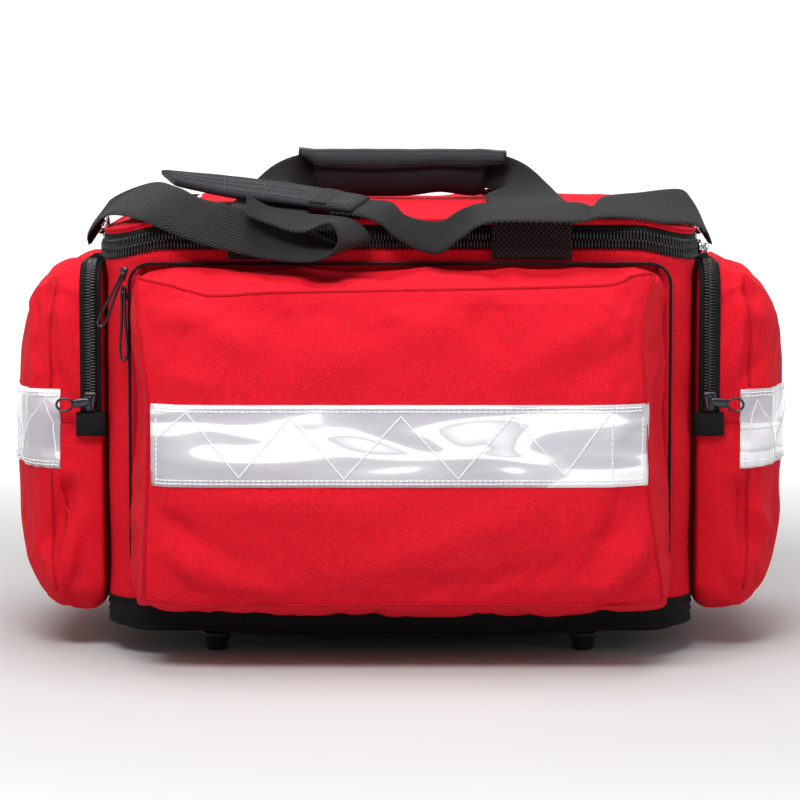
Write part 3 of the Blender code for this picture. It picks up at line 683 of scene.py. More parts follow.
def plan(z, outset, rear=None, sag=True, side=24):
    """Loop round the body at height z, with its own outset at the rear if rear is given."""
    loops = [rect(HALF_X + o, HALF_Y + o, max(CORNER + o, 0.004), side)
             for o in (outset if rear is None else rear, outset)]
    out = []
    for (xr, yr), (xf, yf) in zip(*loops):
        share = 1.0 - smoothstep((yr - 0.085) / 0.025)
        x, y = xr + (xf - xr) * share, yr + (yf - yr) * share
        out.append((x, y, z - (rim_drop(x) if sag else 0.0)))
    return out


def riding(obj, body, replaces=()):
    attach(obj, body)
    if replaces:
        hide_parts(*replaces)
    return obj


# ---- base, body and lid ---------------------------------------------------
def bottom_lift(x):
    return 0.006 * smoothstep((abs(x) - 0.05) / 0.11)


def build_base():
    def loop(z, outset, follow):
        out = []
        for x, y, height in plan(z, outset, sag=False):
            ripple = 0.0009 * wobble(x * 30, y * 30, z * 60)
            out.append((x, y, height + bottom_lift(x) * follow + ripple * follow))
        return out

    bottom = [loop(0.0106, o, 1.0) for o in (-0.118, -0.09, -0.06, -0.035, -0.02, -0.012)]
    side = [loop(0.0108, -0.0075, 1.0), loop(0.0122, -0.0035, 1.0), loop(0.015, -0.0008, 0.9),
            loop(0.0185, 0.0006, 0.7), loop(0.0215, -0.0006, 0.5), loop(0.0245, 0.0008, 0.35),
            loop(0.0275, -0.0004, 0.2), loop(0.0305, 0.0009, 0.1), loop(0.0335, 0.0002, 0.0),
            loop(0.0357, 0.0002, 0.0), loop(0.0357, -0.005, 0.0), loop(0.0148, -0.011, 0.0)]
    base = skin("base_cloth", bottom + side, BLACK)
    seam = tube("base_seam", [(x, y, 0.0357) for x, y, _ in plan(0.0357, 0.0004)], 0.0011, BLACK, True)
    welt = tube("base_welt", [(x, y, 0.014 + bottom_lift(x)) for x, y, _ in plan(0.014, -0.0008)],
                0.0015, BLACK, True)
    riding(join("base_cloth", [base, seam, welt]), "root", ["base_panel"])


def build_body():
    rows = [WALL_LOW + (WALL_HIDDEN - WALL_LOW) * k / 45 for k in range(46)]
    outer = []
    for z in rows:
        loop = []
        for x, y, height in plan(z, 0.0, sag=False):
            top = smoothstep((z - 0.2) / 0.0535)
            place = Vector((x * 11, y * 11, z * 9))
            wave = 0.0016 * noise.noise(place) + 0.0007 * noise.noise(place * 3.1)
            corner = smoothstep((abs(x) - 0.15) / 0.03) * smoothstep((abs(y) - 0.09) / 0.03)
            wave -= 0.0011 * corner * math.sin(z * 95 + 2.0 * math.sin(z * 31))
            edge = min(1.0, (z - WALL_LOW) / 0.02) * min(1.0, (WALL_HIDDEN - z) / 0.02)
            band = 0.0011 * smoothstep((z - 0.248) / 0.004)
            out = Vector((x, y)).normalized() * (min(0.0004, (wave - 0.0006) * edge) + band)
            loop.append((x + out.x, y + out.y, height - rim_drop(x) * top))
        outer.append(loop)
    inner = []
    for z in rows[::-4]:
        top = smoothstep((z - 0.2) / 0.0535)
        inner.append([(x, y, height - rim_drop(x) * top)
                      for x, y, height in plan(z, -0.0045, sag=False)])
    shell = skin("body_cloth", outer + inner, RED, caps=(False, False))
    shell.data.materials.append(LINING)
    inner_start = (len(outer) - 1) * len(outer[0])
    for face in shell.data.polygons[inner_start + len(outer[0]):]:
        face.material_index = 1
    riding(shell, "root", ["main_shell"])
    seams = []
    for side in (-1, 1):
        for front in (-1, 1):
            line = []
            for k in range(40):
                z = 0.037 + (WALL_TOP - 0.043) * k / 39
                wob = 0.0008 * math.sin(z * 60)
                line.append((side * (HALF_X - 0.0262 + wob), front * (HALF_Y - 0.0004), z))
            seams.append(tube("seam", line, 0.0009, RED_EDGE, sides=6, flat=0.7))
    riding(join("body_seams", seams), "root")


LID_PROFILE = [
    (0.2722, -0.0004), (0.2735, 0.0004), (0.2748, 0.0004), (0.2758, -0.0004), (0.2768, -0.0035),
    (0.2779, -0.008), (0.2792, -0.014), (0.2804, -0.021), (0.2816, -0.03), (0.2826, -0.04),
    (0.2833, -0.05), (0.2839, -0.062), (0.2842, -0.074), (0.2844, -0.086), (0.2845, -0.098),
    (0.2845, -0.108), (0.2845, -0.115), (0.2845, -0.12)]
LID_FOLDS = [
    (-0.17, -0.03, -0.1, 0.06, 0.01, 0.0016), (-0.15, 0.08, -0.02, 0.05, 0.012, 0.0014),
    (0.17, -0.05, 0.11, 0.06, 0.009, 0.0016), (0.02, 0.09, 0.13, 0.075, 0.011, 0.0015),
    (0.045, -0.02, 0.17, 0.02, 0.01, -0.0014), (-0.05, 0.1, 0.05, 0.105, 0.008, 0.0013),
    (-0.16, -0.08, -0.05, -0.09, 0.009, -0.0012), (0.12, 0.1, 0.17, 0.05, 0.008, 0.0013)]


def lid_height(x, y, z):
    if z < 0.2757:
        return 0.0
    inside = smoothstep((min(HALF_X - abs(x), HALF_Y - abs(y)) - 0.002) / 0.02)
    lift = 1.3 * folds(LID_FOLDS, x, y)
    lift += 0.0011 * wobble(x * 16, y * 16, 1.3)
    lift += 0.0006 * wobble(x * 46, y * 40, 5.1)
    return lift * inside - 0.0006 * inside


def build_lid():
    outer = [plan(z, o) for z, o in LID_PROFILE]
    top = skin("lid_cloth", outer, RED, caps=(False, True))
    creased(top, lid_height)
    under_rows = [(0.2722, -0.0004), (0.2722, -0.0045), (0.2745, -0.012), (0.2778, -0.03),
                  (0.2798, -0.06), (0.2808, -0.09), (0.281, -0.12)]
    under = skin("lid_lining", [plan(z, o) for z, o in under_rows], LINING, caps=(False, True))
    bead = tube("lid_welt", [(x, y, z) for x, y, z in plan(0.2757, 0.0006)], 0.0013, RED_EDGE, True)
    riding(join("lid_cloth", [top, under, bead]), "lid", ["lid_panel"])


def rim_path(z, outset, reach=0.092):
    return [Vector(p) for p in plan(z, outset) if p[1] < reach]


def row_of_teeth(name, path, outs, pitch, mat, half, radius, length, flip, across=None):
    line = even(path, pitch)
    centres, acrosses, ups = [], [], []
    for k, p in enumerate(line[:-1]):
        along = (line[k + 1] - p).normalized()
        up = outs(p, along)
        centres.append(p + (line[k + 1] - p) * (0.5 if flip else 0.0))
        side = across(p) if across else Vector((0, 0, 1))
        acrosses.append(side * (-1 if flip else 1))
        ups.append(up)
    return teeth(name, centres, acrosses, ups, mat, half, radius, length)


def outward(p, along):
    return Vector((along.y, -along.x, 0)).normalized()


def build_main_zip():
    """Two tape bands round the rim, with a row of coil teeth on each at the front and ends."""
    for word, body, low, high, flip, slot_piece in (
            ("lower", "root", 0.256, ZIP_SPLIT - 0.0006, False, "main_zip_lower"),
            ("upper", "lid", ZIP_SPLIT + 0.0006, 0.273, True, "main_zip_upper")):
        rings = [plan(low, 0.0004), plan((low + high) / 2, 0.0009, 0.0004), plan(high, 0.0004),
                 plan(high, -0.0022), plan(low, -0.0022)]
        tape = skin("tape", rings, TAPE, ring=True)
        middle = ZIP_SPLIT + (0.0027 if flip else -0.0027)
        row = row_of_teeth("teeth", rim_path(middle, 0.0012), outward, 0.0021, COIL,
                           0.0034, 0.0018, 0.0009, flip)
        line = even(rim_path(ZIP_SPLIT + (0.0062 if flip else -0.0062), 0.0011), 0.004)
        outs = [outward(None, b - a) for a, b in zip(line, line[1:])]
        thread = stitches("thread", line, outs, BLACK_THREAD, 0.0034, 0.0026, 0.0003)
        riding(join("main_zip_" + word + "_coil", [tape, row, thread]), body, [slot_piece])
    rows = []
    for k in range(13):
        z = 0.2525 + 0.023 * k / 12
        rows.append([(x * 0.0155, 0.1262 + 0.0002 * math.sin(x * 1.3), z) for x in range(-10, 11)])
    strip = skin("rear_hinge_tape", rows, TAPE, False)
    thickened(strip, 0.001)
    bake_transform(strip)


# ---- front pocket ---------------------------------------------------------
FRONT_TOP = [
    (-0.1625, -0.17, 0.2455), (-0.153, -0.177, 0.2435), (-0.1395, -0.183, 0.2402),
    (-0.118, -0.1862, 0.2345), (-0.111, -0.1868, 0.2344), (-0.0607, -0.187, 0.236),
    (0.0, -0.187, 0.2372), (0.0607, -0.187, 0.2385), (0.1213, -0.185, 0.24),
    (0.1328, -0.1825, 0.2415), (0.142, -0.176, 0.246), (0.15, -0.17, 0.2472),
    (0.157, -0.164, 0.2462)]
FRONT_RIGHT = [
    (0.157, -0.164, 0.2462), (0.15, -0.176, 0.229), (0.1475, -0.1845, 0.2055),
    (0.15, -0.185, 0.17), (0.153, -0.185, 0.108), (0.16, -0.183, 0.06), (0.163, -0.18, 0.044)]
FRONT_BOTTOM = [
    (-0.1585, -0.181, 0.0455), (-0.1226, -0.185, 0.0425), (-0.0613, -0.186, 0.0425),
    (0.0, -0.1865, 0.043), (0.0613, -0.186, 0.0428), (0.1226, -0.185, 0.0422),
    (0.163, -0.18, 0.044)]
FRONT_LEFT = [
    (-0.1625, -0.17, 0.2455), (-0.1595, -0.18, 0.2098), (-0.1545, -0.185, 0.1694),
    (-0.1555, -0.185, 0.108), (-0.1585, -0.181, 0.0455)]
FRONT_FOLDS = [
    (-0.15, 0.075, -0.06, 0.046, 0.01, 0.0022), (-0.155, 0.105, -0.085, 0.06, 0.008, -0.002),
    (-0.04, 0.06, 0.09, 0.105, 0.012, 0.002), (0.000, 0.046, 0.11, 0.07, 0.009, -0.0018),
    (0.12, 0.048, 0.158, 0.09, 0.007, 0.003), (0.105, 0.058, 0.15, 0.112, 0.008, -0.0022),
    (-0.145, 0.232, -0.08, 0.196, 0.009, 0.002), (-0.12, 0.226, 0.000, 0.214, 0.01, -0.0015),
    (-0.07, 0.182, 0.04, 0.222, 0.013, 0.0016), (0.06, 0.18, 0.14, 0.232, 0.01, 0.002),
    (0.095, 0.178, 0.146, 0.205, 0.008, -0.0018), (-0.15, 0.19, -0.11, 0.176, 0.007, 0.0016),
    (-0.12, 0.112, 0.01, 0.1, 0.014, 0.0015), (0.135, 0.11, 0.15, 0.06, 0.006, 0.0018)]


def resample(points, count):
    dense = spline(points, 12)
    return even(dense, sum((b - a).length for a, b in zip(dense, dense[1:])) / (count - 1))[:count]


def front_seam():
    """The front panel's four edges as point rows of equal counts."""
    across, down = 73, 47
    top, bottom = resample(FRONT_TOP, across), resample(FRONT_BOTTOM, across)
    left, right = resample(FRONT_LEFT, down), resample(FRONT_RIGHT, down)
    return top, bottom, left, right


def build_front_pocket():
    top, bottom, left, right = front_seam()
    nu, nv = len(top), len(left)
    points, index = [], {}
    for j in range(nv):
        v = j / (nv - 1)
        for i in range(nu):
            u = i / (nu - 1)
            p = (top[i] * (1 - v) + bottom[i] * v + left[j] * (1 - u) + right[j] * u
                 - top[0] * (1 - u) * (1 - v) - top[-1] * u * (1 - v)
                 - bottom[0] * (1 - u) * v - bottom[-1] * u * v)
            beyond = max(0.0, POCKET_FACE - p.y)
            index[i, j] = len(points)
            points.append((p.x, p.y + beyond - BULGE * math.tanh(beyond / BULGE), p.z))
    faces = [(index[i, j], index[i, j + 1], index[i + 1, j + 1], index[i + 1, j])
             for j in range(nv - 1) for i in range(nu - 1)]
    border = ([(i, 0) for i in range(nu - 1)] + [(nu - 1, j) for j in range(nv - 1)]
              + [(i, nv - 1) for i in range(nu - 1, 0, -1)] + [(0, j) for j in range(nv - 1, 0, -1)])
    ring = [index[key] for key in border]
    seam = [Vector(points[k]) for k in ring]
    rows = 9
    for step in range(1, rows + 1):
        t = step / rows
        made = []
        for (i, j), p in zip(border, seam):
            u, v = 2 * i / (nu - 1) - 1, 1 - 2 * j / (nv - 1)
            size = (abs(u) ** 16 + abs(v) ** 16) ** (1 / 16)
            rim = Vector((0.1676 * u / size, -0.1281, 0.1419 + 0.1058 * v / size))
            q = p.lerp(rim, t)
            belly = math.sin(math.pi * t)
            q.z -= 0.006 * belly * smoothstep((-v - 0.9) / 0.1)
            q.z -= 0.0022 * belly * smoothstep((v - 0.9) / 0.1)
            q.x += math.copysign(0.0042, u) * belly * smoothstep((abs(u) - 0.9) / 0.1) \
                * smoothstep((0.2 - v) / 0.8)
            made.append(len(points))
            points.append(tuple(q))
        for a in range(len(ring)):
            b = (a + 1) % len(ring)
            faces.append((ring[a], made[a], made[b], ring[b])[::-1])
        ring = made
    faces.append(tuple(ring))
    pocket = make("front_pocket_cloth", points, faces, RED)
    fix_normals(pocket)
    remeshed(pocket, 0.0042)
    seam_tree = tree_of(tube("seam_guide", seam, 0.0005, RED, True, 4))
    guide = bpy.data.objects["seam_guide"]

    def hold(x, y, z):
        if y > -0.134:
            return 1.0
        near = seam_tree.find_nearest(Vector((x, y + SHIFT, z)))[3]
        return 0.96 if near < 0.0045 else (0.5 if near < 0.009 else 0.0)

    stuffed(pocket, hold, 2.2, 0.005, 18, 0.035)
    bpy.data.objects.remove(guide)
    refined(pocket)

    def height(x, y, z):
        if y > -0.15:
            side = smoothstep((-0.132 - y) / 0.012)
            return side * (0.0008 * wobble(x * 30, y * 40, z * 22))
        edge = smoothstep((min(0.16 - abs(x), z - 0.04, 0.242 - z)) / 0.018)
        flat = 1 - 0.75 * smoothstep((0.034 - abs(z - 0.142)) / 0.012)
        lift = 1.5 * folds(FRONT_FOLDS, x, z)
        lift += 0.0012 * wobble(x * 13 + z * 9, z * 22 - x * 5, 2.2)
        lift += 0.0005 * wobble(x * 44, z * 52, 7.7)
        return lift * edge * flat

    creased(pocket, height)
    bm = bmesh.new()
    bm.from_mesh(pocket.data)
    bmesh.ops.bisect_plane(bm, geom=bm.verts[:] + bm.edges[:] + bm.faces[:],
                           plane_co=(0, -0.1292 + SHIFT, 0), plane_no=(0, 1, 0), clear_outer=True)
    bm.to_mesh(pocket.data)
    bm.free()
    surface = tree_of(pocket)
    line = [nearest(surface, p, 0.0003) for p in even(seam + seam[:1], 0.003)[:-1]]
    edge = tube("front_pocket_edge", line, 0.0011, RED_EDGE, True, 8)
    pocket.data.materials.append(LINING)
    thickened(pocket, 0.0016, -1)
    riding(join("front_pocket_cloth", [pocket, edge]), "front_pocket",
           ["front_pocket_shell"])
    return surface


def arch_path(outset):
    """Line of the front pocket's zip in X and Z, from the left foot over to the right foot."""
    half, high, radius = 0.168 + outset, 0.2478 + outset, 0.012 + outset
    out = [(-half, 0.06), (-half, high - radius)]
    out += [(-half + radius - radius * math.cos(a), high - radius + radius * math.sin(a))
            for a in (math.pi / 2 * k / 6 for k in range(1, 7))]
    return out + [(-x, z) for x, z in out[::-1]]


def build_front_zip():
    for word, body, y, flip in (("inner", "root", -0.1262, False),
                                ("outer", "front_pocket", -0.1291, True)):
        middle = [Vector((x, y, z)) for x, z in arch_path(0.0012)]
        line = even(middle, 0.0015)

        def out_of(p, along):
            return Vector((-along.z, 0, along.x)).normalized()

        def tilted(p, along):
            return (out_of(p, along) + Vector((0, -0.9, 0))).normalized()

        loops = []
        dense = even(middle, 0.006)
        for k, p in enumerate(dense):
            a, b = dense[max(k - 1, 0)], dense[min(k + 1, len(dense) - 1)]
            out = out_of(p, (b - a).normalized())
            y0, y1 = (y - 0.0014, y + 0.001)
            loops.append([p - out * 0.0009 + Vector((0, d - y, 0)) for d in (y0, y1)]
                         + [p + out * 0.0002 + Vector((0, d - y, 0)) for d in (y1, y0)])
        tape = skin("tape", loops, TAPE)
        shift = 0.0003 if flip else -0.0002
        row = row_of_teeth("teeth", [p + Vector((0, shift, 0)) for p in middle], tilted, 0.0016, COIL,
                           0.0017, 0.0013, 0.0006, flip, lambda p: Vector((0, -1, 0)))
        riding(join("front_zip_" + word, [tape, row]), body, ["front_pocket_zip_" + word])


def tape_patch(surface, path, rows, ripple):
    """Reflective tape laid on a surface: path gives a start point and a ray for each column."""
    loops = []
    for start, ray in path:
        line, back = [], []
        for j in range(rows + 1):
            z = TAPE_LOW + (TAPE_HIGH - TAPE_LOW) * j / rows
            lift = TAPE_LIFT + ripple * wobble(start[0] * 30, start[1] * 30, z * 26)
            edge = 0.0006 if j in (0, rows) else 0.0
            p, n = onto(surface, (start[0], start[1], z), ray, max(lift, 0.0006) - edge)
            line.append(p)
            back.append(p - n * 0.0008)
        loops.append(line + back[::-1])
    return skin("strip", loops, SILVER)


def tape_threads(surface, path, lines):
    """Threads on tape, each a list of (share along the path, height) corners and a pitch.

    Pitch 0 makes one unbroken thread.
    """
    made = []
    for corners, pitch in lines:
        dense, ups = [], []
        for (s0, z0), (s1, z1) in zip(corners, corners[1:]):
            steps = max(4, int(140 * max(abs(s1 - s0), abs(z1 - z0))) * 2)
            for k in range(steps):
                t = k / steps
                s, z = s0 + (s1 - s0) * t, z0 + (z1 - z0) * t
                place = s * (len(path) - 1)
                k0 = min(int(place), len(path) - 2)
                f = place - k0
                start = Vector(path[k0][0]).lerp(Vector(path[k0 + 1][0]), f)
                ray = Vector(path[k0][1]).lerp(Vector(path[k0 + 1][1]), f).normalized()
                p, n = onto(surface, (start.x, start.y, z), ray, 0.0001)
                dense.append(p)
                ups.append(n)
        if pitch:
            made.append(stitches("thread", dense, ups, WHITE_THREAD, pitch, pitch * 0.98, 0.0004))
        else:
            line = [p + n * 0.0001 for p, n in zip(dense, ups)]
            made.append(tube("thread", line, 0.0004, WHITE_THREAD, False, 6))
    return made


def sewn_tape(surface, path, run, lines, rows, ripple):
    """A patch of tape, its two rows of stitches along each edge, and the threads in lines."""
    strip = tape_patch(surface, path, rows, ripple)
    edges = [TAPE_LOW + inset for inset in SEAM_IN] + [TAPE_HIGH - inset for inset in SEAM_IN]
    lines = [([(s, z) for s in run], 0.0032) for z in edges] + lines
    return [strip] + tape_threads(tree_of(strip), path, lines)


def build_front_strip(surface):
    path = [((-0.1512 + 0.3018 * k / 100, -0.195, 0), (0, 1, 0)) for k in range(101)]
    zig = [(0.008, 0.146), (0.072, 0.163), (0.177, 0.1235), (0.28, 0.1605), (0.388, 0.1225),
           (0.503, 0.1605), (0.618, 0.1225), (0.727, 0.1612), (0.832, 0.1245), (0.925, 0.164)]
    ends = [([(s, TAPE_LOW + inset), (s, TAPE_HIGH - inset)], 0.003)
            for s, inset in ((0.928, 0.004), (0.01, 0.003), (0.99, 0.003))]
    piece = sewn_tape(surface, path, (0.006, 0.994), [(zig, 0)] + ends, 20, 0.0007)
    riding(join("front_strip_tape", piece), "front_pocket",
           ["front_reflective_strip"])


# ---- end pockets ----------------------------------------------------------
END_SHAPE = [
    (0.1886, 0.2465, 0.0275, 0.105, 0.02), (0.198, 0.2466, 0.025, 0.1052, 0.02),
    (0.207, 0.2455, 0.0245, 0.105, 0.021), (0.216, 0.2433, 0.0262, 0.1042, 0.022),
    (0.224, 0.2392, 0.031, 0.1012, 0.024), (0.231, 0.2315, 0.0385, 0.0965, 0.026),
    (0.2375, 0.2205, 0.051, 0.0895, 0.028), (0.242, 0.206, 0.066, 0.08, 0.03),
    (0.2442, 0.188, 0.082, 0.066, 0.03), (0.245, 0.165, 0.1, 0.046, 0.024),
    (0.2453, 0.145, 0.12, 0.025, 0.01)]
END_FOLDS = {-1: [(0.205, 0.115, 0.228, 0.06, 0.006, -0.0045), (0.196, 0.1, 0.212, 0.045, 0.005, 0.003),
                  (0.2, 0.15, 0.222, 0.185, 0.006, -0.0022), (0.21, 0.238, 0.234, 0.205, 0.007, -0.002),
                  (0.192, 0.148, 0.224, 0.146, 0.003, -0.0022)],
             1: [(0.205, 0.16, 0.226, 0.19, 0.006, -0.0024), (0.214, 0.112, 0.226, 0.062, 0.006, -0.004),
                 (0.196, 0.13, 0.206, 0.07, 0.006, 0.0026), (0.224, 0.096, 0.236, 0.07, 0.005, 0.003),
                 (0.205, 0.235, 0.23, 0.222, 0.006, -0.0018), (0.192, 0.152, 0.224, 0.149, 0.003, -0.002)]}


def build_end_pocket(side, word):
    loops = []
    table = []
    for a, b in zip(END_SHAPE, END_SHAPE[1:]):
        table += [a, tuple((p + q) / 2 for p, q in zip(a, b))]
    table.append(END_SHAPE[-1])
    for x, top, low, half, radius in table:
        middle, tall = (top + low) / 2, (top - low) / 2
        corner = min(radius, half * 0.9, tall * 0.9)
        loops.append([(side * x, u, middle + v) for u, v in rect(half, tall, corner, 14, 6)])
    pocket = skin(word + "_pocket_cloth", loops, RED)
    remeshed(pocket, 0.0045)

    def hold(x, y, z):
        away = abs(x)
        if away < 0.1935:
            return 1.0
        if abs(y) > 0.0995 and 0.1885 < away < 0.2045:
            return 0.98
        if z > 0.238 and away < 0.2045 and y < 0.0:
            return 0.98
        return 0.0

    stuffed(pocket, hold, 2.0, 0.0045, 18, 0.04)
    refined(pocket)

    def height(x, y, z):
        away = abs(x)
        free = smoothstep((away - 0.2035) / 0.006)
        lift = 0.0014 * wobble(x * 17, y * 15, z * 15 + side)
        lift += 0.0008 * wobble(x * 48, y * 40, z * 44)
        lift *= free
        if y < -0.06:
            shown = smoothstep((-0.06 - y) / 0.02)
            lift += 1.4 * shown * folds(END_FOLDS[side], away, z) \
                * max(free, 0.35 if z < 0.14 else 0.0)
        elif y > 0.06:
            shown = smoothstep((y - 0.06) / 0.02)
            lift += shown * folds(END_FOLDS[-side], away, z) * free
        return lift

    creased(pocket, height)
    surface = tree_of(pocket)
    seams = []
    for y_side in (-1, 1):
        for low, high in ((0.04, 0.116), (0.169, 0.232)):
            line = []
            for k in range(25):
                z = low + (high - low) * k / 24
                wide = 0.2215 - 0.004 * smoothstep((z - 0.2) / 0.04)
                wide -= 0.003 * smoothstep((0.07 - z) / 0.04)
                line.append(onto(surface, (side * wide, y_side * 0.115, z), (0, -y_side, 0), 0.0003)[0])
            seams.append(tube("seam", line, 0.001, RED_EDGE, sides=8, flat=0.8))
    across = [(side * (0.1895 + 0.0255 * k / 29), -0.115, 0.1468) for k in range(30)]
    level, _ = laid(surface, across, (0, 1, 0), 0.0003)
    seams.append(tube("seam", level, 0.0009, RED_EDGE, sides=8, flat=0.7))
    riding(join(word + "_pocket_cloth", [pocket] + seams), "root",
           [word + "_pocket_shell"])
    build_end_strip(side, word, surface)
    build_end_zip(side, word)


def build_end_strip(side, word, surface):
    path = []
    for k in range(81):
        angle = math.radians(-90 + 180 * k / 80)
        centre = Vector((0.2155, 0.0, 0))
        stretch = Vector((math.cos(angle) * 0.03, math.sin(angle) * 0.104, 0))
        place = centre + stretch
        normal = Vector((math.cos(angle) * 0.104, math.sin(angle) * 0.03, 0)).normalized()
        start = place + normal * 0.012
        path.append(((side * start.x, start.y, 0), (-side * normal.x, -normal.y, 0)))
    zig = [(s, 0.161 if k % 2 else 0.123)
           for k, s in enumerate((0.03, 0.11, 0.24, 0.38, 0.5, 0.62, 0.76, 0.89, 0.97))]
    piece = sewn_tape(surface, path, (0.01, 0.99), [(zig, 0)], 16, 0.0005)
    riding(join(word + "_strip_tape", piece), "root", [word + "_pocket_strip"])


def build_end_zip(side, word):
    """Zip tape and coil up the front gusset and over the top, and the zip's end tab."""
    depth, radius, high = 0.1056, 0.02, 0.2472
    centre_x = END_ZIP_X * side
    path = [(-depth, 0.152), (-depth, high - radius)]
    path += [(-depth + radius - radius * math.cos(a), high - radius + radius * math.sin(a))
             for a in (math.pi / 2 * k / 7 for k in range(1, 8))]
    path.append((-0.03, high))
    line = [Vector((centre_x, y, z)) for y, z in path]
    dense = even(line, 0.004)
    loops = []
    for k, p in enumerate(dense):
        a, b = dense[max(k - 1, 0)], dense[min(k + 1, len(dense) - 1)]
        along = (b - a).normalized()
        up = Vector((0, -along.z, along.y))
        loops.append([p + Vector((w, 0, 0)) + up * h for w, h in
                      ((-0.0068, -0.0006), (0.0068, -0.0006), (0.0068, 0.0003), (0.0042, 0.0007),
                       (-0.0042, 0.0007), (-0.0068, 0.0003))])
    tape = skin("tape", loops, TAPE)
    parts = [tape]

    def out_of(p, along):
        return Vector((0, -along.z, along.y)).normalized()

    for flip in (False, True):
        aside = -0.0015 if flip else 0.0015
        moved = [p + Vector((aside, 0, 0)) + Vector((0, -0.0012, 0)) for p in line[:2]]
        moved += [Vector((p.x + aside, p.y - 0.0012 * max(0.0, 1 - k / 7),
                          p.z + 0.0012 * min(1.0, k / 7))) for k, p in enumerate(line[2:], 1)]
        parts.append(row_of_teeth("teeth", moved, out_of, 0.0019, COIL, 0.0026, 0.0015, 0.0008, flip,
                                  lambda p: Vector((-1, 0, 0))))
    riding(join(word + "_zip_coil", parts), "root", [word + "_pocket_zip"])
    tab_loops = []
    for k in range(9):
        t = k / 8
        x = centre_x - 0.0093 + 0.0186 * t
        puff = 0.0014 * math.sin(math.pi * t)
        tab_loops.append([(x, -0.105, 0.139), (x, -0.1082 - puff, 0.1385), (x, -0.1092 - puff, 0.14),
                          (x, -0.1094 - puff, 0.1458), (x, -0.109 - puff, 0.152),
                          (x, -0.108 - puff, 0.1534), (x, -0.105, 0.1534)])
    tab = skin(word + "_tab_cloth", tab_loops, BLACK)
    riding(tab, "root", [word + "_zip_tab"])


# ---- sliders and pulls ----------------------------------------------------
def slider_body(name, centre, along, out, length, width, height, mat):
    """Zip slider: a waisted rounded body with a raised bridge."""
    along, out = Vector(along).normalized(), Vector(out).normalized()
    side = along.cross(out)
    centre = Vector(centre)
    loops = []
    for t, w, h in ((-0.5, 0.3, 0.45), (-0.46, 0.52, 0.75), (-0.25, 0.66, 0.95), (0.0, 0.8, 1.0),
                    (0.25, 0.98, 1.0), (0.42, 1.0, 0.85), (0.5, 0.84, 0.5)):
        loop = []
        for a in turns(16):
            u = squarer(math.cos(a), 0.5) * width / 2 * w
            v = squarer(math.sin(a), 0.5) * height / 2 * h
            loop.append(centre + along * (t * length) + side * u + out * v)
        loops.append(loop)
    body = skin("body", loops, mat)
    arch = [centre + along * (length * (t - 0.5))
            + out * (height * 0.4 + height * 0.5 * math.sin(math.pi * t))
            for t in (0.12, 0.25, 0.4, 0.55, 0.7, 0.82)]
    bridge = tube("bridge", arch, width * 0.1, mat, sides=8)
    return join(name, [body, bridge])


def build_pulls():
    for side, word in ((-1, "left"), (1, "right")):
        x = END_ZIP_X * side
        body = slider_body(word + "_slider_metal", (x, END_ZIP_Y - 0.0014, 0.1607), (0, 0, 1),
                           (0, -1, 0), 0.012, 0.0088, 0.0034, GUNMETAL)
        riding(body, word + "_slider", [word + "_slider"])
        y, z = END_ZIP_Y - 0.0047, 0.1608
        droop = -0.12
        plate = [((x + side * a, y, z + droop * a - w), (x + side * a, y, z + droop * a + w))
                 for a, w in ((0.0006, 0.0016), (0.002, 0.0024), (0.006, 0.0028), (0.01, 0.0026),
                              (0.0118, 0.0018))]
        plate = ribbon("plate", plate, 0.0011, GUNMETAL, 4, 4)
        middle = Vector((x + side * 0.0162, y, z + droop * 0.0162))
        ring = [middle + Vector((math.cos(a) * 0.005, 0, math.sin(a) * 0.004))
                for a in turns(28)]
        ring = tube("ring", ring, 0.0008, GUNMETAL, True, 8)
        pull = join(word + "_pull_ring", [plate, ring])
        riding(pull, word + "_pull", [word + "_pull"])
    top = slider_body("pocket_slider_top_metal", (-0.172, -0.1318, 0.2428), (0.15, 0, 1), (-0.3, -1, 0),
                      0.0086, 0.0048, 0.0028, GUNMETAL)
    riding(top, "front_pocket", ["pocket_slider_top"])
    low = slider_body("pocket_slider_side_metal", (-0.1722, -0.1312, 0.231), (0, 0, -1), (-0.3, -1, 0),
                      0.009, 0.0048, 0.0026, GUNMETAL)
    riding(low, "pocket_slider_side", ["pocket_slider_side"])
    outline = [(0.0, -0.35), (0.0, 0.35), (0.25, 0.45), (0.5, 0.6), (0.82, 1.0), (0.96, 0.75),
               (1.0, 0.0), (0.96, -0.75), (0.82, -1.0), (0.5, -0.6), (0.25, -0.45)]
    for name, pivot, tilt, half, size in (
            ("pocket_pull_top", (-0.1722, -0.1363, 0.243), -24, 0.0024, 0.0355),
            ("pocket_pull_side", (-0.1722, -0.1342, 0.231), 0, 0.0023, 0.042)):
        tilt = math.radians(tilt)
        down = Vector((math.sin(tilt), 0, -math.cos(tilt)))
        side = Vector((math.cos(tilt), 0, math.sin(tilt)))
        ring = [Vector(pivot) + down * (size * a) + side * (half * b) for a, b in outline]
        pull = tube(name + "_wire", spline(ring + ring[:1], 4)[:-1], 0.0009, GUNMETAL, True, 8)
        riding(pull, name, [name])
    z = ZIP_SPLIT - 0.007
    body = slider_body("main_slider_metal", (0.1908, -0.081, z), (0, 1, 0), (1, 0, 0), 0.014,
                       0.0092, 0.0034, CHROME)
    riding(body, "main_slider", ["main_slider"])
    outline = [(-0.001, -0.0018), (-0.012, -0.0028), (-0.018, -0.002), (-0.018, 0.002), (-0.012, 0.0028),
               (-0.001, 0.0018)]
    ring = [Vector((0.1936, -0.086 + a, z + b)) for a, b in outline]
    pull = tube("main_pull_wire", spline(ring + ring[:1], 5)[:-1], 0.001, CHROME, True, 8)
    riding(pull, "main_pull", ["main_pull"])


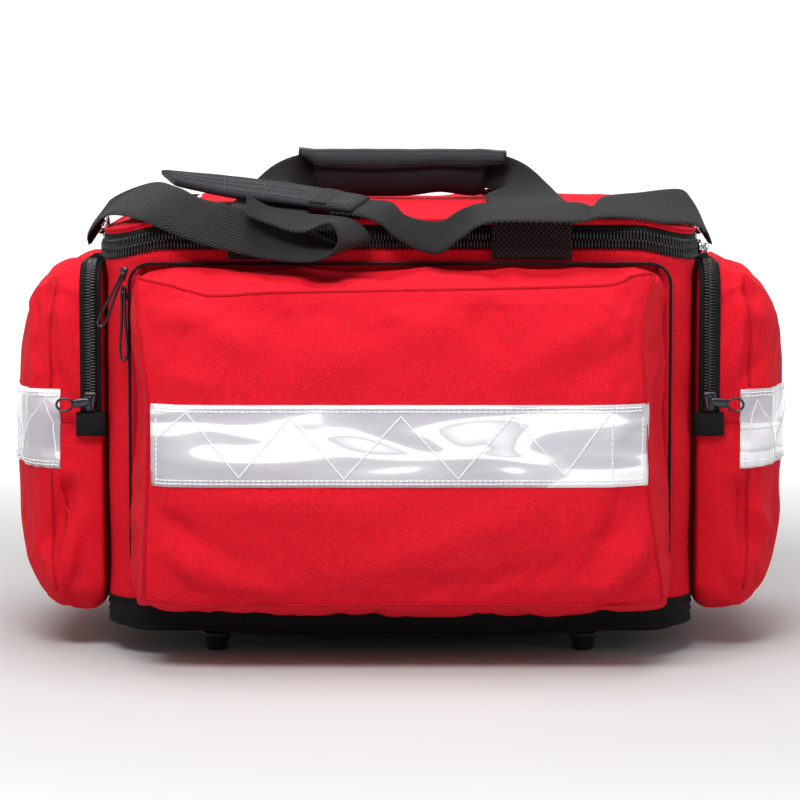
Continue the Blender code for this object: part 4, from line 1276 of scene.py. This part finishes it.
# ---- carry handles --------------------------------------------------------
LEG = [
    (0.057, 0.107, -0.1305, 0.2528, 0.2528), (0.057, 0.107, -0.1312, 0.269, 0.269),
    (0.057, 0.107, -0.1288, 0.277, 0.277), (0.057, 0.107, -0.1205, 0.28, 0.28),
    (0.057, 0.1065, -0.09, 0.284, 0.284), (0.055, 0.103, -0.055, 0.2862, 0.2872),
    (0.058, 0.096, -0.03, 0.2885, 0.2945), (0.067, 0.083, -0.012, 0.29, 0.306)]


def build_handles():
    """Each handle is one loop of webbing, folded inside the grip, with two sewn patches."""
    for word, facing in (("front", -1), ("rear", 1)):
        half = [((xi, facing * -y, zi), (xo, facing * -y, zo)) for xi, xo, y, zi, zo in LEG]
        half.append(((0.063, facing * 0.003, 0.2906), (0.066, facing * 0.003, 0.3128)))
        half += [((x, facing * 0.003, 0.2908), (x, facing * 0.003, 0.3126))
                 for x in (0.05, 0.025, 0.0)]
        other = [((-a[0], a[1], a[2]), (-b[0], b[1], b[2])) for a, b in half[-2::-1]]
        web = ribbon(word + "_handle_web", half + other, WEB_THICK, WEB, 8, 16, 0.0004, 0.0003)
        riding(web, word + "_handle", [word + "_handle"])
        for side, name in ((-1, "left"), (1, "right")):
            x0, x1 = side * 0.082 - 0.025, side * 0.082 + 0.025
            y = facing * 0.1266
            edges = [((x0, y * out, z), (x1, y * out, z))
                     for out, z in ((1, 0.2518), (1.002, 0.253), (1.004, 0.2545))]
            patch = ribbon("patch", edges, 0.0018, WEB, 4, 12)
            riding(patch, "root", [word + "_anchor_" + name])
            patch.name = word + "_anchor_web_" + name


def build_grip():
    """Padded tube over both handles, with a stitched flap closed over the top."""
    loops = []
    for k in range(33):
        t = k / 32
        x = -0.057 + 0.113 * t
        end = smoothstep(min(t, 1 - t) * 14)
        loop = []
        for a in turns(28):
            ca, sa = math.cos(a), math.sin(a)
            lump = 1 + 0.03 * wobble(x * 40, ca * 1.5, sa * 1.5)
            y = squarer(ca, 0.8) * 0.0108 * (0.86 + 0.14 * end) * lump
            z = 0.3012 + squarer(sa, 0.8) * 0.0128 * (0.86 + 0.14 * end) * lump
            if sa < 0:
                z += 0.003 * sa * (1 - 0.9 * math.exp(-((x - 0.026) / 0.013) ** 2))
            loop.append((x, y, z))
        loops.append(loop)
    roll = skin("grip_roll", loops, NYLON)
    riding(roll, "rear_handle", ["grip_wrap"])
    rows = []
    count = 48
    for k in range(count + 1):
        t = k / count
        x = -0.0665 + 0.1365 * t
        dip = 0.3042 + 0.001 * math.cos(t * 9.0) + 0.0062 * smoothstep((0.11 - t) / 0.11) \
            + 0.0045 * smoothstep((t - 0.84) / 0.16)
        tip = 0.0022 * smoothstep((0.1 - t) / 0.1) - 0.0022 * smoothstep((t - 0.86) / 0.14)
        line = [(-0.0126, dip), (-0.0128, 0.3085), (-0.0115, 0.3122), (-0.0085, 0.3146),
                (-0.004, 0.3157),
                (0.001, 0.3159), (0.006, 0.315), (0.01, 0.3125), (0.0122, 0.3085), (0.0127, 0.303),
                (0.0122, 0.2975)]
        lift = 0.0004 * wobble(x * 60, 2.0, 4.0)
        squeeze = (0.3157 - dip) / (0.3157 - 0.3042)
        line = [(y, 0.3157 - (0.3157 - z) * (squeeze if y < -0.004 else 1.0)) for y, z in line]
        line[0] = (line[0][0], dip)
        rows.append([(x, y, z + tip * 0.5 + lift) for y, z in line])
    smooth_rows = [[tuple(p) for p in spline(row, 3)] for row in rows]
    flap = skin("flap", smooth_rows, NYLON, False)
    thickened(flap, 0.0016)
    surface = tree_of(flap)
    starts = [(-0.064 + (0.067 + 0.064) * k / 89, -0.03, 0.3072) for k in range(90)]
    line, ups = laid(surface, starts, (0, 1, 0), 0.0001)
    thread = stitches("thread", line, ups, BLACK_THREAD, 0.003, 0.0022, 0.00026)
    riding(join("grip_flap_cloth", [flap, thread]), "rear_handle", ["grip_flap"])


# ---- shoulder strap -------------------------------------------------------
STRAP_LEFT = [
    ((-0.202, -0.044, 0.256), (-0.1875, -0.044, 0.28)),
    ((-0.2005, -0.058, 0.264), (-0.185, -0.04, 0.2865)),
    ((-0.186, -0.085, 0.277), (-0.1594, -0.05, 0.2965)),
    ((-0.162, -0.128, 0.2765), (-0.141, -0.086, 0.295)),
    ((-0.136, -0.14, 0.2665), (-0.125, -0.112, 0.289)),
    ((-0.11, -0.15, 0.259), (-0.101, -0.1345, 0.284)),
    ((-0.075, -0.165, 0.2535), (-0.065, -0.1345, 0.274)),
    ((-0.05, -0.17, 0.254), (-0.035, -0.1345, 0.261)),
    ((-0.0379, -0.17, 0.264), (-0.0181, -0.1345, 0.264)),
    ((-0.043, -0.166, 0.2755), (-0.03, -0.1345, 0.2765)),
    ((-0.06, -0.163, 0.27), (-0.056, -0.1345, 0.28)),
    ((-0.078, -0.159, 0.274), (-0.077, -0.1345, 0.283)),
    ((-0.095, -0.15, 0.28), (-0.095, -0.1345, 0.2915))]
STRAP_RIGHT = [
    ((-0.044, -0.1272, 0.2806), (-0.033, -0.0855, 0.2868)),
    ((-0.024, -0.1365, 0.279), (-0.013, -0.098, 0.2868)),
    ((-0.012, -0.142, 0.274), (-0.004, -0.118, 0.286)),
    ((0.0000, -0.143, 0.264), (0.005, -0.133, 0.279)),
    ((0.022, -0.146, 0.256), (0.024, -0.1315, 0.2755)),
    ((0.038, -0.15, 0.266), (0.04, -0.125, 0.283)),
    ((0.056, -0.15, 0.276), (0.056, -0.106, 0.2858)),
    ((0.108, -0.15, 0.276), (0.108, -0.106, 0.2858)),
    ((0.122, -0.145, 0.278), (0.12, -0.115, 0.284)),
    ((0.144, -0.131, 0.2775), (0.129, -0.084, 0.2885)),
    ((0.166, -0.127, 0.2745), (0.155, -0.066, 0.2905)),
    ((0.1835, -0.093, 0.2725), (0.178, -0.048, 0.292)),
    ((0.1965, -0.062, 0.265), (0.186, -0.042, 0.2885)),
    ((0.202, -0.044, 0.256), (0.1875, -0.044, 0.28))]
PAD = [
    ((-0.1445, -0.06, 0.296), (-0.1556, -0.028, 0.3025)),
    ((-0.11, -0.088, 0.29), (-0.112, -0.036, 0.299)),
    ((-0.0747, -0.113, 0.2865), (-0.066, -0.062, 0.2945)),
    ((-0.03, -0.134, 0.282), (-0.019, -0.095, 0.288))]


def build_strap():
    for word, edges, side in (("left", STRAP_LEFT, -1), ("right", STRAP_RIGHT, 1)):
        web = ribbon("strap_" + word + "_web", edges, WEB_THICK, WEB, 10, 16, 0.0006, 0.0008)
        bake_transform(web)
        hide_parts("strap_" + word)
    near, far = spline([p[0] for p in PAD], 12), spline([p[1] for p in PAD], 12)
    loops = []
    for k, (a, b) in enumerate(zip(near, far)):
        t = k / (len(near) - 1)
        before, after = max(k - 1, 0), min(k + 1, len(near) - 1)
        along = (near[after] + far[after]) / 2 - (near[before] + far[before]) / 2
        wide = b - a
        normal = along.cross(wide).normalized()
        half = 0.0023 * (0.75 + 0.25 * smoothstep(min(t, 1 - t) * 30))
        upper, lower = [], []
        for j in range(25):
            s = j / 24
            round_edge = math.sqrt(max(0.0, 1 - abs(2 * s - 1) ** 16))
            dent = 1 - 0.3 * math.exp(-((min(s, 1 - s) - 0.13) / 0.03) ** 2)
            thick = half * round_edge * dent
            thick += 0.0003 * wobble(t * 9, s * 3, 1.0) * round_edge
            base = a + wide * s
            upper.append(base + normal * thick)
            lower.append(base - normal * thick)
        loops.append(upper + lower[::-1][1:-1])
    pad = skin("shoulder_pad_cloth", loops, PAD_CLOTH)
    surface = tree_of(pad)
    riding(pad, "lid", ["shoulder_pad"])

    def spot(s, t):
        place = t * (len(near) - 1)
        k = min(int(place), len(near) - 2)
        low, high = near[k].lerp(near[k + 1], place - k), far[k].lerp(far[k + 1], place - k)
        return low.lerp(high, s)

    threads = []
    for (s0, t0), (s1, t1) in (((0.15, 0.05), (0.15, 0.95)), ((0.4, 0.05), (0.4, 0.76)),
                               ((0.62, 0.05), (0.62, 0.76)), ((0.85, 0.05), (0.85, 0.95)),
                               ((0.1, 0.32), (0.9, 0.32)), ((0.1, 0.56), (0.9, 0.56)),
                               ((0.06, 0.955), (0.94, 0.955)), ((0.06, 0.775), (0.94, 0.775))):
        spots = [spot(s0 + (s1 - s0) * k / 59, t0 + (t1 - t0) * k / 59) for k in range(60)]
        line, ups = laid(surface, spots, (0, 0, -1), 0.0001, 0.02)
        threads.append(stitches("thread", line, ups, GREY_THREAD, 0.003, 0.0024, 0.0003))
    band = []
    for t in (0.8, 0.812, 0.84, 0.868, 0.88):
        lift = 0.0008 if 0.801 < t < 0.879 else 0.0
        band.append(tuple(onto(surface, spot(s, t), (0, 0, -1), lift, 0.02)[0] for s in (0.03, 0.97)))
    threads.append(ribbon("band", band, 0.0016, WEB, 4, 14))
    riding(join("pad_stitching", threads), "lid")


def build_rings():
    """D-rings in folded webbing tabs, and the strap's snap hooks with their gates and bars."""
    for side, word in ((-1, "left"), (1, "right")):
        x = side * 0.194
        fold_line = [(x - 0.0021, 0.247), (x - 0.0021, BAR_Z)]
        fold_line += [(x - 0.0021 * math.cos(a), BAR_Z + 0.0021 * math.sin(a))
                      for a in (math.radians(30 * k) for k in range(1, 6))]
        fold_line += [(x + 0.0021, BAR_Z), (x + 0.0021, 0.247)]
        edges = [((px, -0.0125, pz), (px, 0.0125, pz)) for px, pz in fold_line]
        tab = ribbon(word + "_ring_tab_web", edges, 0.0012, WEB, 3, 12)
        riding(tab, "root", [word + "_ring_tab"])
        arc = [(x, 0.015, BAR_Z)] + [(x, 0.015 * math.cos(math.radians(a)),
                                     BAR_Z + 0.004 + 0.014 * math.sin(math.radians(a)))
                                    for a in range(0, 181, 12)] + [(x, -0.015, BAR_Z)]
        ring = tube(word + "_ring_wire", arc, 0.0013, CHROME, True, 12)
        riding(ring, "root", [word + "_d_ring"])
        near, inside, z = -0.018, -0.009, HOOK_Z
        outer, inner = x + side * 0.0052, x - side * 0.0034
        hook = spline([(outer, inside - 0.0022, z), (x + side * 0.002, inside, z),
                       (inner, inside - 0.002, z), (inner, near - 0.01, z), (x, near - 0.0135, z), (x, -0.0375, z)], 6)
        body = tube("hook", hook, 0.0015, CHROME, False, 12)
        barrel = [(x, y, z) for y in (-0.0325, -0.0335, -0.0365, -0.0375)]
        barrel = tube("barrel", barrel, 0.0026, CHROME, False, 16)
        riding(join(word + "_hook_metal", [body, barrel]), "root", [word + "_snap_hook"])
        gate = [(x + side * 0.0045, near - 0.0115, z), (outer, near - 0.008, z),
                (outer, inside - 0.0055, z)]
        gate = tube(word + "_gate_wire", gate, 0.001, CHROME, False, 10)
        riding(gate, word + "_gate", [word + "_hook_gate"])
        rod = [(side * rx, -0.0405, rz)
               for rx, rz in ((0.2015, 0.257), (0.197, 0.2638), (0.1914, 0.2722))]
        rod = tube(word + "_bar_wire", rod, 0.0014, CHROME, False, 12)
        riding(rod, "root", [word + "_hook_bar"])


def build_feet():
    for side, word in ((-1, "left"), (1, "right")):
        for facing, where in ((-1, "front"), (1, "rear")):
            profile = [(0.0, 0.0), (0.005, 0.0), (0.0062, 0.0006), (0.0068, 0.002), (0.0074, 0.006),
                       (0.0086, 0.0086), (0.0091, 0.01), (0.0091, 0.0116), (0.008, 0.0124), (0.006, 0.0128),
                       (0.004, 0.0175)]
            loops = [[(side * 0.117 + r * math.cos(a), facing * 0.098 + r * math.sin(a), z)
                      for a in turns(32)] for r, z in profile[1:]]
            foot = skin("stud_" + where + "_" + word, loops, FOOT)
            riding(foot, "root", ["foot_" + where + "_" + word])


KEPT = {"divider_left": LOOP_CLOTH, "divider_right": LOOP_CLOTH, "base_board": BOARD,
        "rivet_front_left": CHROME, "rivet_front_right": CHROME, "rivet_rear_left": CHROME,
        "rivet_rear_right": CHROME, "strap_adjuster": CHROME}


def keep_nodes():
    for name, mat in KEPT.items():
        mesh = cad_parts[name].data
        mesh.materials.clear()
        mesh.materials.append(mat)


# ---- room, lights and camera ----------------------------------------------
def build_room():
    paper = Look("paper", rough=0.9, colour=(0.92, 0.92, 0.92))
    paper.colour(paper.ramp(paper.noise(2.0), [(0.0, (0.54, 0.54, 0.54)), (1.0, (0.58, 0.58, 0.58))]))
    paper.shader.inputs["Emission Color"].default_value = (1, 1, 1, 1)
    away = paper.vector("LENGTH", paper.coords(), out="Value")
    glow = paper.node("MapRange", interpolation_type="SMOOTHSTEP")
    paper.put(glow.inputs["Value"], away)
    glow.inputs["From Min"].default_value = 0.35
    glow.inputs["From Max"].default_value = 1.3
    glow.inputs["To Min"].default_value = 0.0
    glow.inputs["To Max"].default_value = 0.8
    paper.put(paper.shader.inputs["Emission Strength"], glow.outputs["Result"])
    curve = [(0, -12.0, 0.0), (0, 0.0, 0.0)]
    curve += [(0, 0.9 + 3.0 * math.sin(a), 3.0 - 3.0 * math.cos(a))
              for a in (math.pi / 2 * k / 40 for k in range(41))]
    rows = [[(x, y, z) for x in (-12.0, 0.0, 12.0)] for _, y, z in curve]
    floor = skin("studio_floor", rows, paper.mat, False)
    world = bpy.data.worlds.new("studio")
    SCENE.world = world
    world.use_nodes = True
    sky = world.node_tree.nodes["Background"]
    sky.inputs["Color"].default_value = (1, 1, 1, 1)
    seen = world.node_tree.nodes.new("ShaderNodeLightPath")
    level = world.node_tree.nodes.new("ShaderNodeMapRange")
    level.inputs["To Min"].default_value = 0.2
    level.inputs["To Max"].default_value = 1.0
    world.node_tree.links.new(seen.outputs["Is Camera Ray"], level.inputs["Value"])
    world.node_tree.links.new(level.outputs["Result"], sky.inputs["Strength"])
    for name, place, size, power in (("key", (-0.25, -0.85, 1.15), (0.9, 0.4), 15.0),
                                     ("fill", (1.6, -1.3, 1.0), (0.9, 1.2), 5),
                                     ("top", (0.1, 0.1, 2.3), (1.8, 1.2), 34)):
        data = bpy.data.lights.new(name, "AREA")
        data.shape = "RECTANGLE"
        data.size, data.size_y = size
        data.energy = power
        lamp = bpy.data.objects.new(name, data)
        lamp.location = place
        aim = Vector((0, 0, 0.15)) - Vector(place)
        lamp.rotation_mode = "QUATERNION"
        lamp.rotation_quaternion = aim.to_track_quat("-Z", "Y")
        SCENE.collection.objects.link(lamp)
    SCENE.view_settings.view_transform = "Standard"
    data = bpy.data.cameras.new("camera")
    data.lens = 148.9
    data.sensor_width = 36
    data.clip_start, data.clip_end = 0.1, 50
    camera = bpy.data.objects.new("camera", data)
    tilt = math.radians(6)
    target = Vector((0, SHIFT, 0.15))
    back = Vector((0, -math.cos(tilt), math.sin(tilt)))
    camera.location = target + back * 2.2
    camera.rotation_mode = "QUATERNION"
    camera.rotation_quaternion = (-back).to_track_quat("-Z", "Y")
    SCENE.collection.objects.link(camera)
    SCENE.camera = camera


build_base()
build_body()
build_lid()
build_main_zip()
front_surface = build_front_pocket()
build_front_zip()
build_front_strip(front_surface)
build_end_pocket(-1, "left")
build_end_pocket(1, "right")
build_pulls()
build_handles()
build_grip()
build_strap()
build_rings()
build_feet()
keep_nodes()
build_room()
